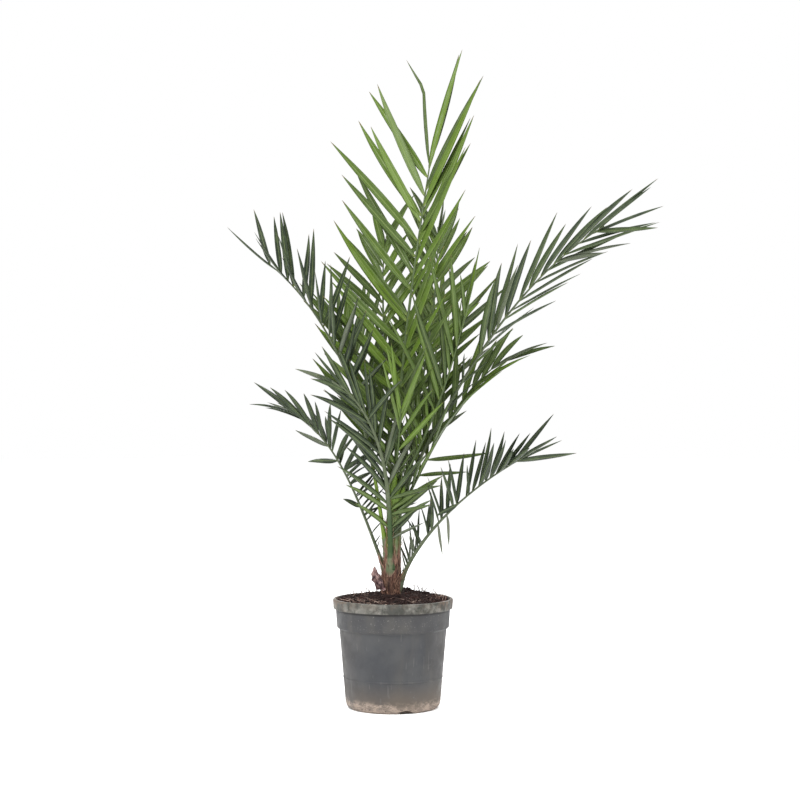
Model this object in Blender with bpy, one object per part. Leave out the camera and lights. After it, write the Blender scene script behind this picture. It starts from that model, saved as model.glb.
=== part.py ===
"""A young canary island date palm in a grey nursery pot, in metres.

The pot stands on the floor at z = 0 with its middle on the z axis, and the
photographed side faces -y. Turns are in degrees about z from +x, and rises
are in degrees above the level.
"""

import math

import bpy
import numpy as np
from mathutils.bvhtree import BVHTree

# Clearance between pieces that rest against each other
CLEARANCE = 0.0003

# Pot: outer profile as (height, radius), from the underside to the rim
POT_UNDERSIDE_RADIUS = 0.0795
POT_OUTER_PROFILE = (
    (0.0015, 0.0822),
    (0.006, 0.0855),
    (0.014, 0.0872),
    (0.055, 0.0907),
    (0.0553, 0.0913),
    (0.0577, 0.0915),
    (0.058, 0.0909),
    (0.144, 0.0983),
    (0.1475, 0.1028),
    (0.1795, 0.1048),
    (0.1815, 0.1092),
    (0.197, 0.1102),
    (0.199, 0.1090),
)
POT_LIP_FOOT = 0.1795
POT_RIM_INNER_RADIUS = 0.1045
POT_RIM_HEIGHT = 0.199
POT_LIP_INNER_FOOT = (0.1820, 0.1028)
POT_STEP_TOP = 0.1475
POT_STEP_FOOT = (0.1410, 0.0958)
POT_FOOT_TOP = 0.014
POT_FLOOR_EDGE = ((0.0050, 0.0825), (0.0025, 0.0785))
POT_WALL = 0.002
POT_FLOOR = 0.0025
POT_SEGMENTS = 40

# Drain arches cut out of the foot of the pot wall
DRAIN_TURNS = (286.0, 16.0, 106.0, 196.0)
DRAIN_ARCH_RADIUS = 0.024
DRAIN_ARCH_RISE = 0.0065
DRAIN_FROM_AXIS = 0.074
DRAIN_TO_AXIS = 0.095
DRAIN_SEGMENTS = 24

# Soil: mounded round the stem, a little under the rim at the wall
SOIL_WALL_GAP = 0.0005
SOIL_SIDE_HEIGHTS = (0.140, 0.150)
SOIL_RING_RADII = (0.097, 0.085, 0.071, 0.057, 0.045, 0.035)
SOIL_SLOPE_POWER = 0.8
SOIL_PAD_RADIUS = 0.026
SOIL_PAD_HEIGHT = 0.2057
SOIL_EDGE_HEIGHT = 0.1955
SOIL_MOUND_RISE = 0.008
SOIL_MOUND_TURN = 70.0
SOIL_MOUND_DISTANCE = 0.060
SOIL_MOUND_SPREAD = 0.040
SOIL_BOTTOM_RADIUS = 0.0645
SOIL_BOTTOM_CHAMFER = 0.012

# Lumps of the soil as waves: turns for each metre in x and in y, start, share
SOIL_LUMP_HEIGHT = 0.0007
SOIL_LUMP_WAVES = (
    (190, 60, 0, 1.0),
    (-80, 150, 1, 1.0),
    (330, -240, 2, 0.7),
    (210, 380, 0, 0.7),
)

# Stem: (height, radius) from the flat cut at the soil to the tip
STEM_PROFILE = (
    (0.2060, 0.0180),
    (0.2100, 0.0172),
    (0.2250, 0.0186),
    (0.2380, 0.0182),
    (0.2500, 0.0168),
    (0.2700, 0.0152),
    (0.3000, 0.0142),
    (0.3300, 0.0130),
    (0.3600, 0.0116),
    (0.3850, 0.0100),
    (0.4020, 0.0085),
    (0.4150, 0.0070),
    (0.4220, 0.0050),
)
STEM_LEAN_FROM = -0.004
STEM_LEAN_TO = 0.004
STEM_SEGMENTS = 18
STEM_RIB_COUNT = 5
STEM_RIB_SHARE = 0.05
STEM_RIB_WINDING = 25.0

# Dry leaf base left on the stem
STUB_HEIGHT = 0.216
STUB_TURN = 208.0
STUB_RISE = 71.0
STUB_LENGTH = 0.042
STUB_THICK = 0.0105
STUB_TIP = 0.0008
STUB_FLATNESS = 0.6
STUB_BULGE = 1.6
STUB_CURVE = 0.003
STUB_BOW = 0.005
STUB_SINK = 0.0012
STUB_SIDES = 8
STUB_SHARES = (0.0, 0.3, 0.6, 0.85, 1.0)

# Leaf stalk, from foot to end
STALK_SINK = 0.003
STALK_SECTIONS = 10
STALK_CROWDING = 1.15
STALK_SIDES = 5
STALK_FLAT = 0.82
STALK_STEPS = 65

# The lower, older stalks widen at the foot, and the highest ones don't
FOOT_FLARE = 0.8
FOOT_FLARE_LENGTH = 0.022
FOOT_FLARE_HEIGHTS = (0.25, 0.39)

# Leaflet blade: (share of its length, share of its width), and its root
BLADE_ROOT_WIDTH = 0.30
ROOT_WIDTH_IN_STALK = 1.0
ROOT_THICKNESS_IN_STALK = 0.5
BLADE_SECTIONS = ((0.24, 0.93), (0.60, 0.84))
BLADE_THICKNESS_SHARE = 1 / 80
BLADE_LEAST_THICKNESS = 0.0011

# Room that a finished leaflet takes beyond its plain blade
ROOM_SIDE = 0.0008
ROOM_FACE = 0.0014
ROOM_TIP = 0.002

# Unevenness of the leaflets: place as a share of the spacing, angles in
# degrees, and length and sag as shares
UNEVEN_PLACE = 0.36
UNEVEN_SPREAD = 8
UNEVEN_LIFT = 13
UNEVEN_LENGTH = 0.16
UNEVEN_SAG = 0.5
UNEVEN_TWIST = 15

# The two rows of leaflets stand half a spacing apart
ROW_STARTS = {1: 0.25, -1: 0.75}

# Turns tried in order for a leaflet that would touch another frond
SWERVES = (
    (0, 0), (5, 8), (-5, -8), (0, 16), (0, -16), (9, 0), (-9, 0),
    (8, 24), (-6, -24), (14, 10), (-12, 20), (0, 34), (0, -34),
)

# Fronds. rise, turn, roll, spread and lift go from the first value at the
# foot to the second at the end. spread is the angle between a leaflet and
# the stalk, and lift is how far it stands up from the plane of the frond.
# Splay is the further spread of the first side's end leaflets. Strays are
# single leaflets by side, place up the stalk, spread, lift, twist, length.
# Hanging gives the places of dry leaflets that hang straight down.
FRONDS = (
    dict(name="central_frond", foot=(0.379, 88), rise=(88.0, 68.5), bend=1.16,
         turn=(35.7, 67.2), length=0.668, thick=(0.0044, 0.0013), roll=(29.2, -5.2),
         bare=0.17, pairs=17, reach=0.223, at_base=0.70, peak=0.57, at_tip=0.96,
         spread=(57, 9), lift=(39, 12), sag=-0.035, width=0.0162, twist=-3, seed=11,
         kinked=16, splay=24),
    dict(name="left_upper_frond", foot=(0.285, 186), rise=(81.9, 38.2), bend=2.04,
         turn=(193.0, 168.5), length=0.586, thick=(0.0050, 0.0012), roll=(28.2, -39.9),
         bare=0.50, pairs=13, reach=0.120, at_base=0.73, peak=0.70, at_tip=0.86,
         spread=(49, 38), lift=(77, 39), sag=-0.084, width=0.0109, twist=4, seed=704),
    dict(name="front_left_frond", foot=(0.252, 259), rise=(89.5, 35.2), bend=1.53,
         turn=(262.6, 214.1), length=0.377, thick=(0.0056, 0.0013), roll=(-14.0, 80.9),
         bare=0.17, pairs=14, reach=0.142, at_base=0.55, peak=0.33, at_tip=0.63,
         spread=(61, 8), lift=(30, 24), sag=0.098, width=0.0114, twist=-6, seed=13,
         strays=((1, 0.344, 77, 8, 10, 0.103),
                 (1, 0.266, 78, 11, 8, 0.08),
                 (1, 0.766, 66, 4, -8, 0.097))),
    dict(name="left_lower_frond", foot=(0.252, 187), rise=(68.3, 30.3), bend=3.07,
         turn=(157.4, 182.9), length=0.339, thick=(0.0044, 0.0012), roll=(-13.6, 40.2),
         bare=0.48, pairs=11, reach=0.103, at_base=0.50, peak=0.49, at_tip=1.01,
         spread=(79, 9), lift=(78, -7), sag=0.148, width=0.0101, twist=67, seed=675,
         strays=((-1, 0.641, 57, -77, -11, 0.056),
                 (-1, 0.734, 26, -72, -30, 0.07),
                 (1, 0.359, 40, -77, 22, 0.037),
                 (1, 0.578, 57, 77, 35, 0.075),
                 (1, 0.578, 82, 79, 24, 0.058),
                 (1, 0.5, 85, 85, 29, 0.049),
                 (1, 0.656, 59, 71, 34, 0.063))),
    dict(name="right_lower_frond", foot=(0.217, 360), rise=(81.2, 26.7), bend=0.49,
         turn=(340.5, 325.1), length=0.352, thick=(0.0046, 0.0013), roll=(-49.2, 56.7),
         bare=0.24, pairs=13, reach=0.092, at_base=0.50, peak=0.56, at_tip=1.21,
         spread=(67, 21), lift=(78, 37), sag=-0.022, width=0.0088, twist=50, seed=448,
         hanging=(0.41, 0.48),
         strays=((1, 0.969, 37, -77, -36, 0.109),
                 (1, 0.953, 30, -43, -22, 0.097),
                 (-1, 0.562, 153, 31, -83, 0.044))),
    dict(name="right_upper_frond", foot=(0.378, 342), rise=(62.8, 31.4), bend=2.23,
         turn=(-7.0, -2.6), length=0.633, thick=(0.0044, 0.0012), roll=(-34.4, -28.9),
         bare=0.44, pairs=12, reach=0.178, at_base=0.77, peak=0.71, at_tip=0.69,
         spread=(36, 21), lift=(4, -11), sag=0.053, width=0.0132, twist=24, seed=513,
         strays=((1, 0.828, 27, -53, 9, 0.092),
                 (1, 0.969, 29, -55, 15, 0.115),
                 (-1, 0.547, 19, 63, -28, 0.182))),
    dict(name="right_middle_frond", foot=(0.352, 5), rise=(63.2, 33.4), bend=2.82,
         turn=(3.3, 17.8), length=0.343, thick=(0.0042, 0.0012), roll=(5.3, 51.9),
         bare=0.11, pairs=12, reach=0.132, at_base=0.85, peak=0.45, at_tip=0.79,
         spread=(52, 9), lift=(42, 11), sag=0.092, width=0.0124, twist=9, seed=166,
         strays=((-1, 0.328, 56, -60, -30, 0.121),
                 (-1, 0.234, 60, -66, -34, 0.093))),
    dict(name="back_right_frond", foot=(0.404, 8), rise=(72.4, 70.0), bend=0.79,
         turn=(32.8, 89.3), length=0.517, thick=(0.0034, 0.0012), roll=(-47.3, 48.1),
         bare=0.41, pairs=13, reach=0.137, at_base=0.95, peak=0.24, at_tip=0.91,
         spread=(44, 22), lift=(6, -24), sag=0.021, width=0.0140, twist=3, seed=154),
    dict(name="back_left_frond", foot=(0.397, 150), rise=(83.2, 45.1), bend=2.08,
         turn=(118.2, 82.1), length=0.513, thick=(0.0034, 0.0012), roll=(45.5, -15.7),
         bare=0.29, pairs=13, reach=0.140, at_base=0.81, peak=0.52, at_tip=0.83,
         spread=(57, 17), lift=(22, 12), sag=0.072, width=0.0133, twist=-23, seed=39),
    dict(name="inner_right_frond", foot=(0.392, 300), rise=(58.7, 76.0), bend=1.21,
         turn=(332.1, 329.7), length=0.353, thick=(0.0034, 0.0012), roll=(-5.6, -12.5),
         bare=0.21, pairs=12, reach=0.157, at_base=1.04, peak=0.75, at_tip=0.42,
         spread=(53, 14), lift=(70, 30), sag=-0.068, width=0.0121, twist=27, seed=564),
    dict(name="spear_frond", foot=(0.405, 262), rise=(76.3, 61.1), bend=0.38,
         turn=(287.5, 273.8), length=0.156, thick=(0.0026, 0.0012), roll=(-12.7, -28.3),
         bare=0.19, pairs=6, reach=0.121, at_base=0.59, peak=0.31, at_tip=1.04,
         spread=(39, 18), lift=(-7, 48), sag=0.016, width=0.0111, twist=-15, seed=315),
    dict(name="rear_right_frond", foot=(0.300, 60), rise=(80.5, 36.0), bend=1.48,
         turn=(69.4, 60.4), length=0.447, thick=(0.0040, 0.0013), roll=(3.0, 27.2),
         bare=0.30, pairs=13, reach=0.156, at_base=0.76, peak=0.32, at_tip=1.13,
         spread=(61, 23), lift=(24, 18), sag=-0.085, width=0.0143, twist=-22, seed=577),
    dict(name="rear_left_frond", foot=(0.320, 122), rise=(77.5, 36.5), bend=1.23,
         turn=(107.9, 120.3), length=0.469, thick=(0.0040, 0.0013), roll=(-8.4, -17.3),
         bare=0.32, pairs=13, reach=0.162, at_base=0.94, peak=0.58, at_tip=0.58,
         spread=(45, 25), lift=(35, 44), sag=0.008, width=0.0141, twist=-30, seed=225),
)

# The broken leaflet: its direction along and across the frond, the share
# at which it is folded, and the way that its end leans over
KINK_DIRECTION = (0.968, 0.25)
KINK_LEAF_LENGTH = 0.242
KINK_LEAF_WIDTH = 0.0085
KINK_AT = 0.70
KINK_LEAN = (-0.45, 0.0, -0.12)
KINK_WIDTH = 0.66

# The dry leaflets that hang from the lowest right frond
HANGING_DIRECTION = (0.10, -0.08, -1.0)
HANGING_LENGTH = 0.060
HANGING_WIDTH = 0.0055

# The stray leaflets, which stand out from the two rows
STRAY_SAG = 0.04
STRAY_WIDTH = 0.0098


def clear_scene():
    for obj in list(bpy.data.objects):
        bpy.data.objects.remove(obj, do_unlink=True)


def make_material(name, colour, roughness, metallic=0.0):
    material = bpy.data.materials.new(name)
    material.use_nodes = True
    shader = material.node_tree.nodes["Principled BSDF"]
    shader.inputs["Base Color"].default_value = (*colour, 1.0)
    shader.inputs["Roughness"].default_value = roughness
    shader.inputs["Metallic"].default_value = metallic
    return material


def make_object(name, vertices, faces, material=None):
    mesh = bpy.data.meshes.new(name)
    mesh.from_pydata([tuple(v) for v in vertices], [], [tuple(f) for f in faces])
    mesh.update()
    obj = bpy.data.objects.new(name, mesh)
    if material:
        mesh.materials.append(material)
    bpy.context.scene.collection.objects.link(obj)
    return obj


def loft(rings, start=None, end=None):
    """Closed surface through rings of equal length that turn anticlockwise
    about the way of travel. A start or end point closes that end in a cone,
    and otherwise one flat face does.
    """
    rings = np.asarray(rings, float)
    count, sides = rings.shape[:2]
    vertices = list(rings.reshape(-1, 3))
    faces = []
    for k in range(count - 1):
        for i in range(sides):
            j = (i + 1) % sides
            low, high = k * sides, (k + 1) * sides
            faces.append((low + i, low + j, high + j))
            faces.append((low + i, high + j, high + i))
    last = (count - 1) * sides
    if start is None:
        faces.append(tuple(reversed(range(sides))))
    else:
        vertices.append(np.asarray(start, float))
        tip = len(vertices) - 1
        faces += [(tip, (i + 1) % sides, i) for i in range(sides)]
    if end is None:
        faces.append(tuple(last + i for i in range(sides)))
    else:
        vertices.append(np.asarray(end, float))
        tip = len(vertices) - 1
        faces += [(last + i, last + (i + 1) % sides, tip) for i in range(sides)]
    return np.array(vertices), faces


def turned(profile, segments):
    """Solid of revolution about z from (height, radius) pairs. The profile
    runs from the axis at the bottom, up the outside and back to the axis.
    """
    angle = np.arange(segments) * 2 * math.pi / segments
    rings = [
        np.stack([r * np.cos(angle), r * np.sin(angle), np.full(segments, z)], -1)
        for z, r in profile[1:-1]
    ]
    return loft(rings, (0, 0, profile[0][0]), (0, 0, profile[-1][0]))


def apply_boolean(obj, operation, other=None, collection=None):
    """Applies one Boolean to the object's mesh. Many blades are joined at
    once by the MANIFOLD solver, which leaves no scraps between them.
    """
    modifier = obj.modifiers.new("shape", "BOOLEAN")
    modifier.operation = operation
    modifier.solver = "MANIFOLD"
    if collection:
        modifier.operand_type = "COLLECTION"
        modifier.collection = collection
    else:
        modifier.object = other
    graph = bpy.context.evaluated_depsgraph_get()
    mesh = bpy.data.meshes.new_from_object(obj.evaluated_get(graph))
    obj.modifiers.clear()
    obj.data = mesh


def keep_largest_shell(obj):
    """Drops any sealed hollow or loose scrap that fusing has left."""
    mesh = obj.data
    parent = list(range(len(mesh.vertices)))

    def root_of(i):
        while parent[i] != i:
            parent[i] = parent[parent[i]]
            i = parent[i]
        return i

    for edge in mesh.edges:
        parent[root_of(edge.vertices[0])] = root_of(edge.vertices[1])
    roots = np.array([root_of(i) for i in range(len(mesh.vertices))])
    main = np.bincount(roots).argmax()
    if (roots == main).all():
        return
    kept = np.nonzero(roots == main)[0]
    number = {int(old): new for new, old in enumerate(kept)}
    points = [mesh.vertices[int(i)].co[:] for i in kept]
    faces = [
        [number[i] for i in face.vertices]
        for face in mesh.polygons
        if face.vertices[0] in number
    ]
    fresh = bpy.data.meshes.new(mesh.name)
    fresh.from_pydata(points, [], faces)
    for material in mesh.materials:
        fresh.materials.append(material)
    obj.data = fresh


# Pot

def pot_inner_radius(height):
    """Radius of the wall's inside below the lip, one wall within the outside."""
    below = [(h, r) for h, r in POT_OUTER_PROFILE if h <= POT_LIP_FOOT]
    wall = np.interp(height, *zip(*below)) - POT_WALL
    return min(wall, POT_RIM_INNER_RADIUS)


def build_pot(material):
    """The turned pot, less an arch at each drain."""
    profile = [(0.0, 0.0), (0.0, POT_UNDERSIDE_RADIUS)]
    profile += POT_OUTER_PROFILE
    profile += [
        (POT_RIM_HEIGHT, POT_RIM_INNER_RADIUS),
        POT_LIP_INNER_FOOT,
        (POT_STEP_TOP, pot_inner_radius(POT_STEP_TOP)),
        POT_STEP_FOOT,
        (POT_FOOT_TOP, pot_inner_radius(POT_FOOT_TOP)),
        *POT_FLOOR_EDGE,
        (POT_FLOOR, 0.0),
    ]
    pot = make_object("pot", *turned(profile, POT_SEGMENTS), material)
    arches = []
    for turn in DRAIN_TURNS:
        angle = math.radians(turn)
        outward = np.array([math.cos(angle), math.sin(angle), 0.0])
        sideways = np.array([-math.sin(angle), math.cos(angle), 0.0])
        up = np.array([0.0, 0.0, 1.0])
        middle = up * (DRAIN_ARCH_RISE - DRAIN_ARCH_RADIUS)
        round_angle = np.arange(DRAIN_SEGMENTS) * 2 * math.pi / DRAIN_SEGMENTS
        ring = DRAIN_ARCH_RADIUS * (
            np.cos(round_angle)[:, None] * sideways + np.sin(round_angle)[:, None] * up
        )
        rings = [middle + outward * d + ring for d in (DRAIN_FROM_AXIS, DRAIN_TO_AXIS)]
        arches.append(make_object("arch", *loft(rings)))
    for arch in arches:
        apply_boolean(pot, "DIFFERENCE", other=arch)
        bpy.data.objects.remove(arch)
    return pot


# Soil

def soil_height(radius, angle):
    """Height of the soil: a cone from the pad to the wall, a mound behind
    the stem, and lumps of a few millimetres made of four waves.
    """
    edge = pot_inner_radius(SOIL_EDGE_HEIGHT)
    share = np.clip((radius - SOIL_PAD_RADIUS) / (edge - SOIL_PAD_RADIUS), 0, 1)
    drop = SOIL_EDGE_HEIGHT - SOIL_PAD_HEIGHT
    height = SOIL_PAD_HEIGHT + drop * share ** SOIL_SLOPE_POWER
    x, y = radius * np.cos(angle), radius * np.sin(angle)
    mound = math.radians(SOIL_MOUND_TURN)
    mound_x = SOIL_MOUND_DISTANCE * math.cos(mound)
    mound_y = SOIL_MOUND_DISTANCE * math.sin(mound)
    apart = (x - mound_x) ** 2 + (y - mound_y) ** 2
    fade = np.minimum(1, 4 * share) * np.minimum(1, 5 * (1 - share))
    height += SOIL_MOUND_RISE * np.exp(-apart / SOIL_MOUND_SPREAD ** 2) * fade
    lumps = sum(
        part * np.sin(in_x * x + in_y * y + start)
        for in_x, in_y, start, part in SOIL_LUMP_WAVES
    )
    return height + SOIL_LUMP_HEIGHT * lumps * fade


def build_soil(material):
    """Root ball with chamfered foot, sides beside the wall and uneven top."""
    segments = POT_SEGMENTS
    angle = np.arange(segments) * 2 * math.pi / segments
    rings = []

    def add_ring(radius, height):
        height = np.broadcast_to(height, (segments,))
        rings.append(
            np.stack([radius * np.cos(angle), radius * np.sin(angle), height], -1)
        )

    bottom = POT_FLOOR + CLEARANCE
    chamfer_top = bottom + SOIL_BOTTOM_CHAMFER
    add_ring(SOIL_BOTTOM_RADIUS, bottom)
    add_ring(pot_inner_radius(chamfer_top) - 3 * SOIL_WALL_GAP, chamfer_top)
    for height in (*SOIL_SIDE_HEIGHTS, SOIL_EDGE_HEIGHT):
        add_ring(pot_inner_radius(height) - 2 * SOIL_WALL_GAP, height)
    for radius in (*SOIL_RING_RADII, SOIL_PAD_RADIUS):
        add_ring(radius, soil_height(radius, angle))
    start = (0, 0, bottom)
    end = (0, 0, SOIL_PAD_HEIGHT)
    return make_object("soil", *loft(rings, start, end), material)


# Stem

def stem_radius(height):
    return float(np.interp(height, *zip(*STEM_PROFILE)))


def stem_middle(height):
    low, high = STEM_PROFILE[0][0], STEM_PROFILE[-1][0]
    share = (height - low) / (high - low)
    return np.array([STEM_LEAN_FROM + (STEM_LEAN_TO - STEM_LEAN_FROM) * share, 0.0, height])


def stem_mesh(grown=0.0):
    """The tapered, faintly ribbed stem, or the space round it."""
    angle = np.arange(STEM_SEGMENTS) * 2 * math.pi / STEM_SEGMENTS
    rings = []
    for height, radius in STEM_PROFILE:
        winding = STEM_RIB_COUNT * angle + STEM_RIB_WINDING * height
        ring = radius * (1 + STEM_RIB_SHARE * np.sin(winding)) + grown
        level = height
        if grown and height == STEM_PROFILE[0][0]:
            level -= grown
        if grown and height == STEM_PROFILE[-1][0]:
            level += grown
        around = np.stack([ring * np.cos(angle), ring * np.sin(angle), 0 * angle], -1)
        rings.append(stem_middle(height) * (1, 1, 0) + (0, 0, level) + around)
    return loft(rings)


def build_stub(material):
    """A flattened cone that leans out from the stem."""
    turn, rise = math.radians(STUB_TURN), math.radians(STUB_RISE)
    out = np.array([math.cos(turn), math.sin(turn), 0.0])
    along = math.cos(rise) * out + np.array([0.0, 0.0, math.sin(rise)])
    side = np.array([-math.sin(turn), math.cos(turn), 0.0])
    face = np.cross(along, side)
    foot = stem_middle(STUB_HEIGHT) + out * (stem_radius(STUB_HEIGHT) - STUB_SINK)
    angle = np.arange(STUB_SIDES) * 2 * math.pi / STUB_SIDES
    rings = []
    for share in STUB_SHARES:
        radius = STUB_THICK + (STUB_TIP - STUB_THICK) * share ** STUB_BULGE
        bowed = STUB_CURVE * share * share + STUB_BOW * math.sin(math.pi * share)
        middle = foot + along * STUB_LENGTH * share + out * bowed
        rings.append(
            middle
            + radius * np.cos(angle)[:, None] * side
            + STUB_FLATNESS * radius * np.sin(angle)[:, None] * face
        )
    return make_object("dry_leaf_base", *loft(rings), material)


# Fronds

def between(pair, share):
    return pair[0] + (pair[1] - pair[0]) * share


def frond_frame(frond, share):
    """Unit vectors along the stalk, across the frond and out of its upper
    face, at these shares of its length.
    """
    rise = np.radians(between(frond["rise"], share ** frond["bend"]))
    turn = np.radians(between(frond["turn"], share))
    roll = np.radians(between(frond["roll"], share))[..., None]
    along = np.stack(
        [np.cos(rise) * np.cos(turn), np.cos(rise) * np.sin(turn), np.sin(rise)], -1
    )
    level = np.stack([-np.sin(turn), np.cos(turn), 0 * turn], -1)
    upper = np.cross(along, level)
    across = np.cos(roll) * level + np.sin(roll) * upper
    face = np.cos(roll) * upper - np.sin(roll) * level
    return along, across, face


def frond_path(frond):
    """Points along the stalk, by adding up its direction from the foot."""
    height, turn = frond["foot"]
    out = np.array([math.cos(math.radians(turn)), math.sin(math.radians(turn)), 0.0])
    foot = stem_middle(height) + out * (stem_radius(height) - STALK_SINK)
    share = np.linspace(0, 1, STALK_STEPS)
    steps = frond_frame(frond, (share[1:] + share[:-1]) / 2)[0]
    steps = steps * frond["length"] / (STALK_STEPS - 1)
    return share, foot + np.concatenate([[(0, 0, 0)], np.cumsum(steps, 0)])


def stalk_mesh(frond, grown=0.0):
    """The tapered stalk, flattened across its face, or the space round it."""
    share, points = frond_path(frond)
    at = np.linspace(0, 1, STALK_SECTIONS) ** STALK_CROWDING
    middle = np.stack([np.interp(at, share, points[:, i]) for i in range(3)], -1)
    _, across, face = frond_frame(frond, at)
    age = np.interp(frond["foot"][0], FOOT_FLARE_HEIGHTS, (1, 0))
    flare = FOOT_FLARE * age * np.exp(-((at * frond["length"] / FOOT_FLARE_LENGTH) ** 2))
    radius = between(frond["thick"], at)
    angle = (np.arange(STALK_SIDES) + 0.5) * 2 * math.pi / STALK_SIDES
    wide = (radius * (1 + flare) + grown)[:, None, None] * np.cos(angle)[:, None]
    deep = (STALK_FLAT * radius + grown)[:, None, None] * np.sin(angle)[:, None]
    rings = middle[:, None] + wide * across[:, None] + deep * face[:, None]
    return loft(rings)


def leaflet_length(frond, share):
    """Rises in a curve to the full reach at the peak and falls off again."""
    rising = 1 - (1 - frond["at_base"]) * (1 - share / frond["peak"]) ** 2
    beyond = (share - frond["peak"]) / (1 - frond["peak"])
    falling = 1 - (1 - frond["at_tip"]) * beyond ** 2
    return frond["reach"] * np.where(share < frond["peak"], rising, falling)


def leaflets(frond):
    """One row of sizes for each leaflet, side by side up the stalk."""
    pairs = frond["pairs"]
    chance = np.random.RandomState(frond["seed"])
    path_share, path_points = frond_path(frond)
    rows = []
    for side in (1, -1):
        uneven = chance.uniform(-1, 1, (pairs, 6))
        place = np.arange(pairs) + ROW_STARTS[side] + UNEVEN_PLACE * uneven[:, 0]
        share = np.clip(place / pairs, 0, 1)
        at = frond["bare"] + (1 - frond["bare"]) * share
        spread = between(frond["spread"], share) + UNEVEN_SPREAD * uneven[:, 1]
        if side > 0:
            spread = spread + share * frond.get("splay", 0)
        lift = between(frond["lift"], share) + UNEVEN_LIFT * uneven[:, 2]
        length = leaflet_length(frond, share) * (1 + UNEVEN_LENGTH * uneven[:, 3])
        sag = frond["sag"] * (1 + UNEVEN_SAG * uneven[:, 4])
        twist = frond["twist"] + UNEVEN_TWIST * uneven[:, 5]
        root = np.stack([np.interp(at, path_share, axis) for axis in path_points.T], -1)
        width = frond["width"] * np.minimum(1, np.sqrt(length / frond["reach"]))
        if side > 0 and "kinked" in frond:
            length[frond["kinked"]] = KINK_LEAF_LENGTH
            width[frond["kinked"]] = KINK_LEAF_WIDTH
        for k in range(pairs):
            rows.append(dict(
                side=side,
                at=at[k],
                root=root[k],
                spread=spread[k],
                lift=lift[k],
                length=length[k],
                sag=sag[k],
                twist=twist[k],
                width=width[k],
                kinked=side > 0 and k == frond.get("kinked"),
                hanging=False,
            ))
    for side, at, spread, lift, twist, length in frond.get("strays", ()):
        rows.append(dict(
            side=side,
            at=at,
            root=np.array([np.interp(at, path_share, axis) for axis in path_points.T]),
            spread=spread,
            lift=lift,
            length=length,
            sag=STRAY_SAG,
            twist=twist,
            width=STRAY_WIDTH,
            kinked=False,
            hanging=False,
        ))
    for at in frond.get("hanging", ()):
        rows.append(dict(
            side=-1,
            at=at,
            root=np.array([np.interp(at, path_share, axis) for axis in path_points.T]),
            spread=0,
            lift=0,
            length=HANGING_LENGTH,
            sag=frond["sag"],
            twist=frond["twist"],
            width=HANGING_WIDTH,
            kinked=False,
            hanging=True,
        ))
    return sorted(rows, key=lambda row: row["at"])


def leaflet_axes(frond, row, swerve):
    """Directions along, across and out of the face of one leaflet."""
    along, across, face = frond_frame(frond, np.array(row["at"]))
    spread = math.radians(row["spread"] + swerve[0])
    lift = math.radians(row["lift"] + swerve[1])
    outward = row["side"] * math.cos(lift) * across + math.sin(lift) * face
    leaf = math.cos(spread) * along + math.sin(spread) * outward
    if row["hanging"]:
        leaf = np.array(HANGING_DIRECTION)
    if row["kinked"]:
        leaf = KINK_DIRECTION[0] * along + KINK_DIRECTION[1] * across
    leaf = leaf / np.linalg.norm(leaf)
    wide = along - leaf * (along @ leaf)
    wide = wide / np.linalg.norm(wide)
    twist = row["side"] * math.radians(row["twist"])
    wide = math.cos(twist) * wide + math.sin(twist) * np.cross(leaf, wide)
    return leaf, wide, np.cross(leaf, wide)


def leaflet_middle(row, leaf, share):
    """The midrib: straight, with a sag that grows as the square of the
    share, and past the fold of the broken leaflet a lean to the left.
    """
    point = row["root"] + leaf * row["length"] * share
    point = point - np.array([0, 0, 1.0]) * row["sag"] * row["length"] * share * share
    if row["kinked"] and share > KINK_AT:
        point = point + np.array(KINK_LEAN) * row["length"] * (share - KINK_AT)
    return point


def blade_sections(frond, row, leaf):
    """Middle, width and thickness of the blade at each of its sections."""
    thick = max(row["length"] * BLADE_THICKNESS_SHARE, BLADE_LEAST_THICKNESS)
    stalk = between(frond["thick"], row["at"])
    root_width = min(BLADE_ROOT_WIDTH * row["width"], ROOT_WIDTH_IN_STALK * stalk)
    root_thick = min(thick, ROOT_THICKNESS_IN_STALK * stalk)
    sections = [(0.0, root_width, root_thick)]
    sections += [(at, row["width"] * part, thick * part) for at, part in BLADE_SECTIONS]
    if row["kinked"]:
        sections.append((KINK_AT, row["width"] * KINK_WIDTH, thick * KINK_WIDTH))
    return [(leaflet_middle(row, leaf, at), width, thick) for at, width, thick in sections]


def blade_mesh(frond, row, swerve):
    """The plain blade, flat below and ridged above: a small root inside the
    stalk, two wide sections and a point.
    """
    leaf, wide, out = leaflet_axes(frond, row, swerve)
    rings = [
        [middle + wide * width / 2, middle + out * thick, middle - wide * width / 2]
        for middle, width, thick in blade_sections(frond, row, leaf)
    ]
    return loft(rings, None, leaflet_middle(row, leaf, 1.0))


def blade_space(frond, row, swerve):
    """The space that the finished leaflet takes, a box round the blade."""
    leaf, wide, out = leaflet_axes(frond, row, swerve)
    rings = []
    for middle, width, thick in blade_sections(frond, row, leaf):
        side = wide * (width / 2 + ROOM_SIDE)
        over, under = out * (thick + ROOM_FACE), out * ROOM_FACE
        rings.append([middle + side - under, middle + side + over,
                      middle - side + over, middle - side - under])
    return loft(rings, None, leaflet_middle(row, leaf, 1.0) + leaf * ROOM_TIP)


def tree_of(meshes):
    """Search tree of several meshes, in millimetres: the overlap test loses
    triangles whose sides are a few thousandths of a unit.
    """
    vertices, faces = [], []
    for points, polygons in meshes:
        first = len(vertices)
        vertices += [tuple(1000 * np.asarray(p)) for p in points]
        faces += [tuple(first + i for i in polygon) for polygon in polygons]
    return BVHTree.FromPolygons(vertices, faces)


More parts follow.
